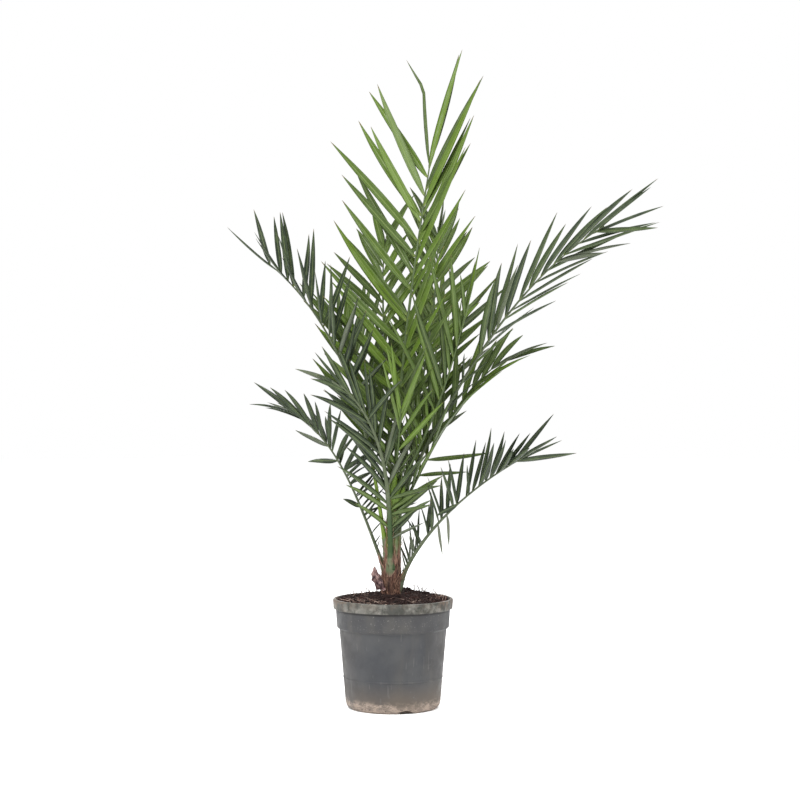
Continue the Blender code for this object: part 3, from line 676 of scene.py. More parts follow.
FIBRE_SINK = 0.0002
FIBRE_LEAN = 0.9
FIBRE_LEAN_BACK = 0.35
FIBRE_INWARD = 0.07
FIBRE_ROUND = 0.02
FIBRE_LENGTHS = (0.010, 0.038)
FIBRE_RADIUS = 0.00033
LOOSE_FIBRES = 0.42
LOOSE_BENDS = (0.05, 0.85)
TIGHT_SHARE = 0.10


def stem_radius(height):
    return np.interp(height, *zip(*STEM_PROFILE))


def stem_middle(height):
    """The stem's axis, which leans evenly in x from foot to tip."""
    height = np.asarray(height, float)
    return stacked(between(STEM_LEAN, share_of(height, STEM_ENDS)), 0.0, height)


def sheath_relief(height, turn):
    """Thickness that the old sheaths add: each swells towards a pointed upper
    edge, highest at its own middle, and the thickest at a place counts.
    """
    relief = 0 * height * turn
    for number in range(SHEATHS):
        low = between(SHEATH_FEET, (number / SHEATHS) ** SHEATH_FEET_POWER)
        middle = math.radians(SHEATH_TURN * number + SHEATH_FIRST_TURN)
        apart = np.abs((turn - middle + math.pi) % (2 * math.pi) - math.pi)
        apart = apart / math.radians(SHEATH_HALF_TURN)
        top = low + SHEATH_RISE * (1 - np.clip(apart, 0, 1) ** SHEATH_POINT_POWER)
        swell = np.clip((height - low + SHEATH_START) / (top - low + SHEATH_START), 0, 1)
        edge = np.clip((top - height) / SHEATH_LIP, 0, 1)
        edge = edge * np.clip((1 - apart) * SHEATH_SIDE_FALL, 0, 1)
        relief = np.maximum(relief, swell * edge)
    return relief


stem_skin, add, place = new_material("stem_skin")
height = axes_of(add, place)["Z"]
fibrous = noise(add, place, 260, 5, (1, 1, 0.10), 0.65)
patchy = noise(add, place, 55, 4, (1, 1, 0.5))
brown = layered(
    add, shaded(add, fibrous, 0.36, 0.66, (56, 36, 30), (146, 112, 92)),
    (spread_over(add, patchy, 0.45, 0.62), 0.6, (112, 68, 54)),
    (patches(add, place, 34, 3, 0.56, 0.70), 0.6, (150, 130, 106)),
)
green = layered(
    add, shaded(add, fibrous, 0.36, 0.64, (52, 70, 24), (112, 142, 46)),
    (spread_over(add, patchy, 0.56, 0.68), 0.5, (84, 62, 44)),
)
climb = plus(add, height, times(add, patchy, 0.06))
colour = mixed(add, spread_over(add, climb, 0.300, 0.345), brown, green)
finish(stem_skin, add, colour, 0.42, 0.85, (0.9, 0.0009, fibrous), 0.3)

turn = around(STEM_SEGMENTS)
height = np.linspace(*STEM_ENDS, STEM_RINGS)[:, None]
swell = SHEATH_THICKNESS * (sheath_relief(height, turn) - SHEATH_SUNK)
swell = swell * np.interp(height, *zip(*SHEATH_FADE))
on_stem = polar(STEM_GRAIN_ROUND, turn, STEM_GRAIN_STRETCH * height)
swell = swell + STEM_GRAIN * wave_sum(on_stem, 40, *STEM_GRAIN_LENGTHS, 8)
stem_axis = stem_middle(height[:, 0])
stem_rings = stem_axis[:, None] + polar(stem_radius(height) + swell, turn, 0.0)
stem_shape = closed_tubes(stem_rings[None], stem_axis[0], stem_axis[-1])
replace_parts(new_piece("fibrous_stem", stem_shape, stem_skin, "stem_fibre"), "stem")

placed = {"points": [], "faces": []}


def note_space(shape):
    """Adds these points and faces, in millimetres, to the space taken."""
    points, quads, fans = shape
    first = len(placed["points"])
    placed["points"] += (1000 * points).tolist()
    placed["faces"] += (quads + first).tolist()
    placed["faces"] += (fans + first).tolist()


note_space(stem_shape)

fibre_skin, add, place = new_material("fibre_skin")
shade = noise(add, place, 120, 3, (1, 1, 0.3))
colour = shaded(add, shade, 0.36, 0.64, (96, 58, 46), (182, 138, 112))
finish(fibre_skin, add, colour, 0.58, 0.75, (0.5, 0.0002, noise(add, place, 1800, 2)))

chance = np.random.RandomState(9)
height = between(FIBRE_HEIGHTS, chance.uniform(0, 1, FIBRES) ** FIBRE_HEIGHT_POWER)
outward, level = level_ways(chance.uniform(0, 2 * math.pi, FIBRES))
foot = stem_middle(height) + outward * (stem_radius(height) - FIBRE_SINK)[:, None]
lean = chance.uniform(-FIBRE_LEAN, FIBRE_LEAN, FIBRES)
way = unit(np.array([0, 0, 1.0]) + level * lean[:, None] - outward * FIBRE_INWARD)
length = chance.uniform(*FIBRE_LENGTHS, FIBRES)
loose = np.where(chance.uniform(0, 1, FIBRES) < LOOSE_FIBRES, 1.0, TIGHT_SHARE)
away = loose * chance.uniform(*LOOSE_BENDS, FIBRES) * length
away = away - 0.5 * (lean * length) ** 2 / FIBRE_ROUND
bend = outward * away[:, None] - level * (FIBRE_LEAN_BACK * lean * length)[:, None]
radius = FIBRE_RADIUS * chance.uniform(0.6, 1.6, FIBRES)
fibre_shape = bent_tubes(foot, way, bend, length, radius)
new_piece("stem_fibres", fibre_shape, fibre_skin, "stem_fibre")

# Dry leaf base: the dead, purple-brown stump of a leaf on the left of the
# foot, a curled papery sheath with a torn end.

STUB_HEIGHT = 0.216
STUB_TURN = 208.0
STUB_RISE = 71.0
STUB_SINK = 0.0012
STUB_LENGTH = 0.043
STUB_HALF_WIDTH = 0.0118
STUB_TAPER = (2.2, 0.75)
STUB_END_WIDTH = 0.0007
STUB_THICKNESS = 0.34
STUB_HOLLOW = 0.75
STUB_OUTWARD = 0.30
STUB_CURVE = 0.003
STUB_BOW = 0.005
STUB_TEAR = 0.0034
STUB_CRUMPLE = 0.13
STUB_RINGS = 44
STUB_SIDES = 36

stub_skin, add, place = new_material("stub_skin")
papery = noise(add, place, 300, 5, (1, 1, 0.15))
colour = layered(
    add, shaded(add, papery, 0.40, 0.60, (54, 30, 38), (176, 144, 138)),
    (patches(add, place, 130, 3, 0.46, 0.60), 0.75, (88, 52, 60)),
)
finish(stub_skin, add, colour, 0.62, 0.85, (0.8, 0.0006, papery))

stub_turn, stub_rise = np.radians([STUB_TURN, STUB_RISE])
out, side = level_ways(stub_turn)
along = polar(math.cos(stub_rise), stub_turn, math.sin(stub_rise))
share = np.linspace(0, 1, STUB_RINGS)[:, None]
turn = around(STUB_SIDES)
torn = STUB_TEAR * share ** 2 * wave_sum(polar(3.0, turn, 0.0)[:, :2], 9, 0.6, 2.5, 4)
crumple = wave_sum(stacked(9 * share, 2 * np.cos(turn)), 14, 1.2, 4.0, 6)
width = STUB_HALF_WIDTH * (1 - share ** STUB_TAPER[0]) ** STUB_TAPER[1] + STUB_END_WIDTH
width = width * (1 + STUB_CRUMPLE * crumple)
deep = STUB_THICKNESS * np.sin(turn) - STUB_HOLLOW * np.cos(turn) ** 2 + STUB_OUTWARD
bowed = STUB_CURVE * share ** 2 + STUB_BOW * np.sin(math.pi * share)
stub_rings = (
    stem_middle(STUB_HEIGHT) + out * (stem_radius(STUB_HEIGHT) - STUB_SINK)
    + along * (STUB_LENGTH * share + torn)[..., None]
    + out * bowed[..., None]
    + side * (width * np.cos(turn))[..., None]
    + np.cross(along, side) * (width * deep)[..., None]
)
stub_shape = closed_tubes(stub_rings[None], stub_rings[0].mean(0), stub_rings[-1].mean(0))
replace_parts(new_piece("dry_leaf_stump", stub_shape, stub_skin, "dry_sheath"), "dry_leaf_base")

# Fronds: thirteen feather leaves. Each has a channelled stalk that grows out
# of the stem, and two rows of stiff leaflets folded to a V along the midrib.

# foot is a height on the stem and a turn round it. rise, turn, thick, roll,
# spread and lift go from the first value at the foot to the second at the end,
# the rise by the share to the power bend. bare is the share of the stalk below
# the first leaflet, and pairs counts the leaflets of a side. reach is the
# longest one, and at_base, peak and at_tip say how their length changes up the
# stalk. sag is the drop of a tip for the leaflet's length, and twist turns a
# leaflet about itself. splay widens one side towards the end, and kinked is the
# leaflet that is broken over. A stray is one more leaflet: side, place up the
# stalk, spread, lift, twist and length. hanging gives the places up the stalk
# where a withered leaflet hangs. green is 0 for the old blue-grey leaves and 1
# for the youngest lime one. swerved gives, leaflet by leaflet up the stalk,
# which of SWERVES it takes, and x where another frond leaves it no room.
FRONDS = (
    dict(name="central_frond", foot=(0.379, 88), rise=(88.0, 68.5), bend=1.16,
         turn=(35.7, 67.2), length=0.668, thick=(0.0044, 0.0013), roll=(29.2, -5.2),
         bare=0.17, pairs=17, reach=0.223, at_base=0.70, peak=0.57, at_tip=0.96,
         spread=(57, 9), lift=(39, 12), sag=-0.035, width=0.0162, twist=-3, seed=11,
         kinked=16, splay=24,
         green=0.62, swerved="3000000000000000000000000000000000"),
    dict(name="left_upper_frond", foot=(0.285, 186), rise=(81.9, 38.2), bend=2.04,
         turn=(193.0, 168.5), length=0.586, thick=(0.0050, 0.0012), roll=(28.2, -39.9),
         bare=0.50, pairs=13, reach=0.120, at_base=0.73, peak=0.70, at_tip=0.86,
         spread=(49, 38), lift=(77, 39), sag=-0.084, width=0.0109, twist=4, seed=704,
         green=0.18, swerved="70000100000100000000000000"),
    dict(name="front_left_frond", foot=(0.252, 259), rise=(89.5, 35.2), bend=1.53,
         turn=(262.6, 214.1), length=0.377, thick=(0.0056, 0.0013), roll=(-14.0, 80.9),
         bare=0.17, pairs=14, reach=0.142, at_base=0.55, peak=0.33, at_tip=0.63,
         spread=(61, 8), lift=(30, 24), sag=0.098, width=0.0114, twist=-6, seed=13,
         strays=((1, 0.344, 77, 8, 10, 0.103),
                 (1, 0.266, 78, 11, 8, 0.08),
                 (1, 0.766, 66, 4, -8, 0.097)),
         green=0.22, swerved="8820004802200000000000000000000"),
    dict(name="left_lower_frond", foot=(0.252, 187), rise=(68.3, 30.3), bend=3.07,
         turn=(157.4, 182.9), length=0.339, thick=(0.0044, 0.0012), roll=(-13.6, 40.2),
         bare=0.48, pairs=11, reach=0.103, at_base=0.50, peak=0.49, at_tip=1.01,
         spread=(79, 9), lift=(78, -7), sag=0.148, width=0.0101, twist=67, seed=675,
         strays=((-1, 0.641, 57, -77, -11, 0.056),
                 (-1, 0.734, 26, -72, -30, 0.07),
                 (1, 0.359, 40, -77, 22, 0.037),
                 (1, 0.578, 57, 77, 35, 0.075),
                 (1, 0.578, 82, 79, 24, 0.058),
                 (1, 0.5, 85, 85, 29, 0.049),
                 (1, 0.656, 59, 71, 34, 0.063)),
         green=0.12, swerved="00000000000000000000000000000"),
    dict(name="right_lower_frond", foot=(0.217, 360), rise=(81.2, 26.7), bend=0.49,
         turn=(340.5, 325.1), length=0.352, thick=(0.0046, 0.0013), roll=(-49.2, 56.7),
         bare=0.24, pairs=13, reach=0.092, at_base=0.50, peak=0.56, at_tip=1.21,
         spread=(67, 21), lift=(78, 37), sag=-0.022, width=0.0088, twist=50, seed=448,
         hanging=(0.41, 0.48),
         strays=((1, 0.969, 37, -77, -36, 0.109),
                 (1, 0.953, 30, -43, -22, 0.097),
                 (-1, 0.562, 153, 31, -83, 0.044)),
         green=0.15, swerved="0001000000000000000000000000000"),
    dict(name="right_upper_frond", foot=(0.378, 342), rise=(62.8, 31.4), bend=2.23,
         turn=(-7.0, -2.6), length=0.633, thick=(0.0044, 0.0012), roll=(-34.4, -28.9),
         bare=0.44, pairs=12, reach=0.178, at_base=0.77, peak=0.71, at_tip=0.69,
         spread=(36, 21), lift=(4, -11), sag=0.053, width=0.0132, twist=24, seed=513,
         strays=((1, 0.828, 27, -53, 9, 0.092),
                 (1, 0.969, 29, -55, 15, 0.115),
                 (-1, 0.547, 19, 63, -28, 0.182)),
         green=0.27, swerved="000000000000000000000000000"),
    dict(name="right_middle_frond", foot=(0.352, 5), rise=(63.2, 33.4), bend=2.82,
         turn=(3.3, 17.8), length=0.343, thick=(0.0042, 0.0012), roll=(5.3, 51.9),
         bare=0.11, pairs=12, reach=0.132, at_base=0.85, peak=0.45, at_tip=0.79,
         spread=(52, 9), lift=(42, 11), sag=0.092, width=0.0124, twist=9, seed=166,
         strays=((-1, 0.328, 56, -60, -30, 0.121),
                 (-1, 0.234, 60, -66, -34, 0.093)),
         green=0.48, swerved="02022002000000000000000000"),
    dict(name="back_right_frond", foot=(0.404, 8), rise=(72.4, 70.0), bend=0.79,
         turn=(32.8, 89.3), length=0.517, thick=(0.0034, 0.0012), roll=(-47.3, 48.1),
         bare=0.41, pairs=13, reach=0.137, at_base=0.95, peak=0.24, at_tip=0.91,
         spread=(44, 22), lift=(6, -24), sag=0.021, width=0.0140, twist=3, seed=154,
         green=0.56, swerved="00000000000000000000000000"),
    dict(name="back_left_frond", foot=(0.397, 150), rise=(83.2, 45.1), bend=2.08,
         turn=(118.2, 82.1), length=0.513, thick=(0.0034, 0.0012), roll=(45.5, -15.7),
         bare=0.29, pairs=13, reach=0.140, at_base=0.81, peak=0.52, at_tip=0.83,
         spread=(57, 17), lift=(22, 12), sag=0.072, width=0.0133, twist=-23, seed=39,
         green=0.55, swerved="02x38100200000000100000000"),
    dict(name="inner_right_frond", foot=(0.392, 300), rise=(58.7, 76.0), bend=1.21,
         turn=(332.1, 329.7), length=0.353, thick=(0.0034, 0.0012), roll=(-5.6, -12.5),
         bare=0.21, pairs=12, reach=0.157, at_base=1.04, peak=0.75, at_tip=0.42,
         spread=(53, 14), lift=(70, 30), sag=-0.068, width=0.0121, twist=27, seed=564,
         green=0.58, swerved="27180a0014040aa000000000"),
    dict(name="spear_frond", foot=(0.405, 262), rise=(76.3, 61.1), bend=0.38,
         turn=(287.5, 273.8), length=0.156, thick=(0.0026, 0.0012), roll=(-12.7, -28.3),
         bare=0.19, pairs=6, reach=0.121, at_base=0.59, peak=0.31, at_tip=1.04,
         spread=(39, 18), lift=(-7, 48), sag=0.016, width=0.0111, twist=-15, seed=315,
         green=0.68, swerved="x0xx0x000105"),
    dict(name="rear_right_frond", foot=(0.300, 60), rise=(80.5, 36.0), bend=1.48,
         turn=(69.4, 60.4), length=0.447, thick=(0.0040, 0.0013), roll=(3.0, 27.2),
         bare=0.30, pairs=13, reach=0.156, at_base=0.76, peak=0.32, at_tip=1.13,
         spread=(61, 23), lift=(24, 18), sag=-0.085, width=0.0143, twist=-22, seed=577,
         green=0.47, swerved="88040002000000200000000000"),
    dict(name="rear_left_frond", foot=(0.320, 122), rise=(77.5, 36.5), bend=1.23,
         turn=(107.9, 120.3), length=0.469, thick=(0.0040, 0.0013), roll=(-8.4, -17.3),
         bare=0.32, pairs=13, reach=0.162, at_base=0.94, peak=0.58, at_tip=0.58,
         spread=(45, 25), lift=(35, 44), sag=0.008, width=0.0141, twist=-30, seed=225,
         green=0.46, swerved="0x08x000020200000000000000"),
)
SWERVES = np.array([
    # spread and lift added, in degrees
    (0, 0), (5, 8), (-5, -8), (0, 16), (0, -16), (9, 0), (-9, 0),
    (8, 24), (-6, -24), (14, 10), (-12, 20), (0, 34), (0, -34),
])
STALK_SINK = 0.003
STALK_STEPS = 65
STALK_RINGS = 72
STALK_RING_POWER = 1.15
STALK_SIDES = 14
STALK_SLIM = 0.94
STALK_FLAT = 0.82
STALK_CHANNEL = 0.42
STALK_CHANNEL_WIDTH = 0.5
STALK_END = 0.0008
FOOT_FLARE = 0.8
FOOT_FLARE_LENGTH = 0.022
FOOT_FLARE_HEIGHTS = (0.25, 0.39)
UNEVEN = dict(place=0.36, spread=8, lift=13, length=0.16, sag=0.5, twist=15)
ROW_STARTS = {1: 0.25, -1: 0.75}
KINK_DIRECTION = (0.968, 0.25)
KINK_LEAF_LENGTH = 0.242
KINK_LEAF_WIDTH = 0.0085
KINK_AT = 0.70
KINK_LEAN = (-0.45, 0.0, -0.12)
KINK_WIDTHS = ((KINK_AT, KINK_AT + 0.04, 1), (1, 1.15, 1.3))
HANGING_DIRECTION = (0.10, -0.08, -1.0)
HANGING_LENGTH = 0.060
HANGING_WIDTH = 0.0055
STRAY_SAG = 0.04
STRAY_WIDTH = 0.0098
BLADE_SHARES = (0, .03, .07, .12, .18, .26, .36, .46, .56, .66, .75, .83, .90, .95, .985)
BLADE_WIDTHS = (.27, .36, .52, .72, .87, .96, .99, .97, .91, .80, .66, .49, .31, .18, .07)
BLADE_RING = (
    # place across the blade, and 1 above, 0 at the edge and -1 below
    (1, 0), (0.5, 1), (0, 1), (-0.5, 1), (-1, 0), (-0.5, -1), (0, -1), (0.5, -1),
)
BLADE_FOLD = math.radians(34)
BLADE_FOLD_POWER = 1.15
BLADE_FOLD_MARGIN = 0.0014
BLADE_CURL = 0.05
BLADE_CURL_POWER = 2.2
BLADE_BOW = 0.0009
BLADE_SWAY = 0.0006
BLADE_TURN = 0.14
BLADE_TURN_CENTRE = 0.3
BLADE_ROOT = 0.45
BLADE_OPENING = 0.09
BLADE_THICKNESS = 0.00045
BLADE_SLIMNESS = 80
BLADE_LEAST_DEPTH = 0.0011
RIB_SHARE = 0.35
# Shares of the blade's length, and how thick the blade and its rib are there.
BLADE_BODY = ((0, 0.1, 0.8, 1), (2.4, 1.0, 0.8, 0.4))
RIB_HEIGHT = ((0, 0.24, 1), (0, 1, 0))


def eased(share):
    """Even S from 0 to 1."""
    share = np.clip(share, 0, 1)
    return share * share * (3 - 2 * share)


def frond_frame(frond, share):
    """Unit vectors along the stalk, across the frond and out of its upper
    face: rise and turn aim the stalk, and roll turns the other two round it.
    """
    rise = np.radians(between(frond["rise"], share ** frond["bend"]))
    turn = np.radians(between(frond["turn"], share))
    roll = np.radians(between(frond["roll"], share))[..., None]
    along = polar(np.cos(rise), turn, np.sin(rise))
    level = level_ways(turn)[1]
    upper = np.cross(along, level)
    across = np.cos(roll) * level + np.sin(roll) * upper
    face = np.cos(roll) * upper - np.sin(roll) * level
    return along, across, face


def on_stalk(frond, at):
    """Points at these shares of the stalk: its direction is added up in even
    steps from the foot.
    """
    height, turn = frond["foot"]
    out = level_ways(math.radians(turn))[0]
    foot = stem_middle(height) + out * (stem_radius(height) - STALK_SINK)
    share = np.linspace(0, 1, STALK_STEPS)
    steps = frond_frame(frond, (share[1:] + share[:-1]) / 2)[0]
    steps = steps * frond["length"] / (STALK_STEPS - 1)
    points = foot + np.concatenate([[(0, 0, 0)], np.cumsum(steps, 0)])
    return np.stack([np.interp(at, share, axis) for axis in points.T], -1)


def foot_flare(frond, at):
    """How much wider the stalk is at these shares: a bell that falls off from
    the foot, full for the lowest feet and none for the highest.
    """
    age = np.interp(frond["foot"][0], FOOT_FLARE_HEIGHTS, (1, 0))
    return FOOT_FLARE * age * np.exp(-((at * frond["length"] / FOOT_FLARE_LENGTH) ** 2))


def stalk_shape(frond):
    """The stalk: rings of a flattened round with a channel along its face,
    widened at an old foot and thinned to the end.
    """
    at = np.linspace(0, 1, STALK_RINGS) ** STALK_RING_POWER
    middle = on_stalk(frond, at)
    along, across, face = frond_frame(frond, at)
    radius = STALK_SLIM * between(frond["thick"], at)[:, None]
    turn = around(STALK_SIDES)
    from_top = (turn - math.pi / 2) / STALK_CHANNEL_WIDTH
    channel = 1 - STALK_CHANNEL * np.exp(-(from_top ** 2))
    wide = radius * (1 + foot_flare(frond, at)[:, None]) * np.cos(turn)
    deep = STALK_FLAT * radius * np.sin(turn) * channel
    rings = ringed(middle, wide, across, deep, face)
    return closed_tubes(rings[None], middle[0], middle[-1] + along[-1] * STALK_END)


def leaflet_length(frond, share):
    """Rises in a curve to the full reach at the peak and falls off again."""
    rising = 1 - (1 - frond["at_base"]) * (1 - share / frond["peak"]) ** 2
    beyond = (share - frond["peak"]) / (1 - frond["peak"])
    falling = 1 - (1 - frond["at_tip"]) * beyond ** 2
    return frond["reach"] * np.where(share < frond["peak"], rising, falling)


def leaflet_rows(frond):
    """Sizes of the leaflets, in order up the stalk. The columns are side,
    place, spread, lift, length, sag, twist, width, kinked and hanging. Both
    rows are spaced evenly with random unevenness in every size.
    """
    pairs = frond["pairs"]
    chance = np.random.RandomState(frond["seed"])
    rows = []
    for side in (1, -1):
        uneven = chance.uniform(-1, 1, (pairs, 6))
        place = np.arange(pairs) + ROW_STARTS[side] + UNEVEN["place"] * uneven[:, 0]
        share = np.clip(place / pairs, 0, 1)
        length = leaflet_length(frond, share) * (1 + UNEVEN["length"] * uneven[:, 3])
        width = frond["width"] * np.minimum(1, np.sqrt(length / frond["reach"]))
        kinked = (side > 0) * (np.arange(pairs) == frond.get("kinked", -1))
        rows.append(stacked(
            side,
            frond["bare"] + (1 - frond["bare"]) * share,
            between(frond["spread"], share) + UNEVEN["spread"] * uneven[:, 1]
            + max(side, 0) * share * frond.get("splay", 0),
            between(frond["lift"], share) + UNEVEN["lift"] * uneven[:, 2],
            np.where(kinked, KINK_LEAF_LENGTH, length),
            frond["sag"] * (1 + UNEVEN["sag"] * uneven[:, 4]),
            frond["twist"] + UNEVEN["twist"] * uneven[:, 5],
            np.where(kinked, KINK_LEAF_WIDTH, width),
            kinked,
            0,
        ))
    for side, at, spread, lift, twist, length in frond.get("strays", ()):
        rows.append([
            [side, at, spread, lift, length, STRAY_SAG, twist, STRAY_WIDTH, 0, 0]
        ])
    for at in frond.get("hanging", ()):
        rows.append([
            [-1, at, 0, 0, HANGING_LENGTH, frond["sag"], frond["twist"], HANGING_WIDTH, 0, 1]
        ])
    rows = np.concatenate(rows)
    rows = rows[np.argsort(rows[:, 1], kind="stable")]
    rows = rows[[sign != "x" for sign in frond["swerved"]]]
    rows[:, 2:4] += SWERVES[[int(sign, 16) for sign in frond["swerved"] if sign != "x"]]
    return rows


def leaflet_shape(frond, rows):
    """The leaflets of a frond as closed blades of eight points a ring. A
    blade runs straight from its root with a sag that grows as the square of
    the share, and its two halves rise from the midrib towards the face. With
    them come the ring's place across and along, and whether it is below.
    """
    side, at, spread, lift, length, sag, twist, width, kinked, hanging = rows.T[..., None]
    root = on_stalk(frond, at[:, 0])
    along, across, face = frond_frame(frond, at[:, 0])
    spread, lift, twist = np.radians(spread), np.radians(lift), side * np.radians(twist)
    outward = side * np.cos(lift) * across + np.sin(lift) * face
    leaf = np.cos(spread) * along + np.sin(spread) * outward
    leaf = np.where(hanging > 0, HANGING_DIRECTION, leaf)
    bent = KINK_DIRECTION[0] * along + KINK_DIRECTION[1] * across
    leaf = unit(np.where(kinked > 0, bent, leaf))
    wide = unit(along - leaf * (along * leaf).sum(1, keepdims=True))
    wide = np.cos(twist) * wide + np.sin(twist) * np.cross(leaf, wide)
    out = np.cross(leaf, wide)[:, None]
    leaf, wide = leaf[:, None], wide[:, None]

    # The midrib: it sags, curls to one side, is broken over and wanders.
    share = np.append(BLADE_SHARES, 1.0)[:, None]
    chance = np.random.RandomState(frond["seed"] + 100)
    bow, sway, turn, curl = chance.uniform(-1, 1, (len(rows), 4)).T[..., None, None]
    long = length[:, None]
    middle = root[:, None] + leaf * long * share
    middle = middle - (sag * length)[:, None] * share ** 2 * np.array([0, 0, 1.0])
    middle = middle + BLADE_CURL * curl * long * share ** BLADE_CURL_POWER * wide
    middle = middle + kinked[:, None] * np.maximum(0, share - KINK_AT) * long * KINK_LEAN
    middle = middle + BLADE_BOW * bow * np.sin(math.pi * share) * out
    middle = middle + BLADE_SWAY * sway * np.sin(2 * math.pi * share) * wide
    turn = BLADE_TURN * turn * (share - BLADE_TURN_CENTRE)
    ring_wide = np.cos(turn) * wide + np.sin(turn) * out
    ring_out = np.cos(turn) * out - np.sin(turn) * wide

    # The section, ring by ring: half width, fold, thickness and rib.
    place = np.array(BLADE_SHARES)
    half = width / 2 * np.array(BLADE_WIDTHS)
    half = np.where(kinked > 0, half * np.interp(place, *KINK_WIDTHS), half)
    half = np.minimum(half, BLADE_ROOT * between(frond["thick"], at) + place * BLADE_OPENING)
    thick = np.maximum(length / BLADE_SLIMNESS, BLADE_LEAST_DEPTH)
    depth = np.minimum(half * math.tan(BLADE_FOLD), thick + BLADE_FOLD_MARGIN)[..., None]
    across_ring, layer = np.array(BLADE_RING).T
    rise = -side[..., None] * depth * (np.abs(across_ring) ** BLADE_FOLD_POWER - 0.5)
    rise = rise + layer * BLADE_THICKNESS / 2 * np.interp(place, *BLADE_BODY)[:, None]
    rib = RIB_SHARE * thick * np.minimum(1, 4 * place) * np.interp(place, *RIB_HEIGHT)
    rise = rise + rib[..., None]
    rings = ringed(
        middle[:, :-1], half[..., None] * across_ring, ring_wide[:, :-1], rise, ring_out[:, :-1]
    )
    below = 0.5 + 0.5 * side[..., None] * layer
    return rings, middle[:, 0], middle[:, -1], stacked(across_ring, place[:, None], below)


def put_numbers(obj, name, values):
    """Stores three numbers for each point of the mesh, for its material."""
    stored = obj.data.attributes.new(name, "FLOAT_VECTOR", "POINT")
    stored.data.foreach_set("vector", np.asarray(values, np.float32).ravel())


def with_ends(ring_values, start, end):
    """Values of the rings of each tube, then of its start and end point."""
    tubes = len(ring_values)
    start, end = np.broadcast_to(start, (tubes, 1, 3)), np.broadcast_to(end, (tubes, 1, 3))
    return np.concatenate([ring_values.reshape(tubes, -1, 3), start, end], 1)


def new_blades(name, blades, kinds):
    """An object of these leaflets, with their numbers: place across, along
    and below, and for each leaflet its age, shade and dryness.
    """
    rings, roots, tips, numbers = blades
    piece = new_piece(name, closed_tubes(rings, roots, tips), leaf_skin, "frond_green")
    put_numbers(piece, "blade_place", with_ends(numbers, (0, 0, 0.5), (0, 1, 0.5)))
    each = rings.shape[1] * rings.shape[2] + 2
    put_numbers(piece, "leaf_kind", np.repeat(kinds[:, None], each, 1))
    return piece


def told(add, name):
    """The three numbers stored under this name."""
    return axes_of(add, add("Attribute", {}, {"attribute_name": name}, out="Vector"))


# Leaflet skin: green with fine veins along the blade, a pale midrib and thin
# pale margins, greyer below, a tan tip, and dust and small pale flecks.
LEAF_AGES = (
    # age and colour, old to young
    (0.25, (34, 45, 33)), (0.45, (77, 98, 31)), (0.75, (101, 131, 26)),
)
leaf_skin, add, place = new_material("leaf_skin")
blade = add("Attribute", {}, {"attribute_name": "blade_place"}, out="Vector")
blade_across, blade_along, blade_below = axes_of(add, blade)
leaf_age, leaf_shade, leaf_dry = told(add, "leaf_kind")
ages = add("ValToRGB", {"Fac": leaf_age})
stops = ages.node.color_ramp.elements
stops[0].color = srgb(23, 30, 28)
stops[1].color = srgb(140, 167, 30)
for position, paint in LEAF_AGES:
    stops.new(position).color = srgb(*paint)
veins = noise(add, blade, 9, 2, (2.2, 0.35, 0.0))
cloudy = patches(add, place, 40, 3, 0.42, 0.66)
from_rib = size_of(add, blade_across)
rib = spread_over(add, from_rib, 0.14, 0.03)
tip = spread_over(add, plus(add, blade_along, times(add, cloudy, 0.02)), 0.955, 0.985)
colour = layered(
    add, ages,
    (spread_over(add, veins, 0.35, 0.65), 0.35, (44, 60, 24)),
    (leaf_shade, 0.62, (37, 48, 34)),
    (cloudy, 0.19, (106, 124, 82)),
    (blade_below, 0.13, (108, 120, 98)),
    (rib, 0.34, (146, 160, 98)),
    (spread_over(add, from_rib, 0.88, 0.98), 0.20, (130, 142, 90)),
    (spread_over(add, blade_along, 0.06, 0.0), 0.5, (134, 144, 74)),
    (tip, 0.75, (104, 82, 52)),
    (patches(add, place, 700, 1, 0.70, 0.76), 0.3, (160, 164, 140)),
)
withered = shaded(add, veins, 0.4, 0.6, (74, 78, 64), (130, 136, 118))
colour = mixed(add, leaf_dry, colour, withered)
gloss = spread_over(add, noise(add, place, 60, 3), 0.3, 0.7, 0.30, 0.46)
veined = plus(add, veins, times(add, rib, 0.8))
finish(leaf_skin, add, colour, 0.80, gloss, (0.55, 0.0003, veined), 0.16)

# Stalk skin: pale grey-green and waxy, yellower on the young fronds, with
# long fine streaks, a pale cast near the foot, and dust. The lower part of one
# stalk is glossy dark green, and that of another is a lush yellow-green.
stalk_skin, add, place = new_material("stalk_skin")
stalk_age, stalk_along, stalk_below = told(add, "leaf_kind")
glossy, lush, _ = told(add, "stalk_tint")
streaks = noise(add, place, 240, 3, (1, 1, 0.12))
waxy = spread_over(add, stalk_age, 0.5, 0.1, 0.3, 1)
colour = layered(
    add, shaded(add, stalk_age, 0.1, 0.8, (80, 90, 66), (70, 92, 36)),
    (spread_over(add, streaks, 0.4, 0.65), 0.4, (56, 70, 38)),
    (times(add, waxy, stalk_below), 0.25, (128, 138, 104)),
    (spread_over(add, stalk_along, 0.05, 0.0), 0.40, (122, 124, 92)),
    (times(add, waxy, patches(add, place, 90, 4, 0.55, 0.72)), 0.30, (142, 146, 122)),
)
colour = mixed(add, glossy, colour, mixed(add, streaks, srgb(26, 54, 18), srgb(52, 86, 32)))
colour = mixed(add, lush, colour, mixed(add, streaks, srgb(92, 122, 30), srgb(136, 162, 52)))
gloss = spread_over(add, noise(add, place, 80, 3), 0.3, 0.7, 0.40, 0.62)
finish(stalk_skin, add, colour, 0.64, gloss, (0.5, 0.0003, streaks), 0.28)

# How much greener a frond's lowest leaflets are, and over which shares of the
# stalk that fades.
LOWER_GREEN = dict(front_left_frond=0.22, right_upper_frond=0.16)
LOWER_GREEN_FADE = (0.26, 0.50)

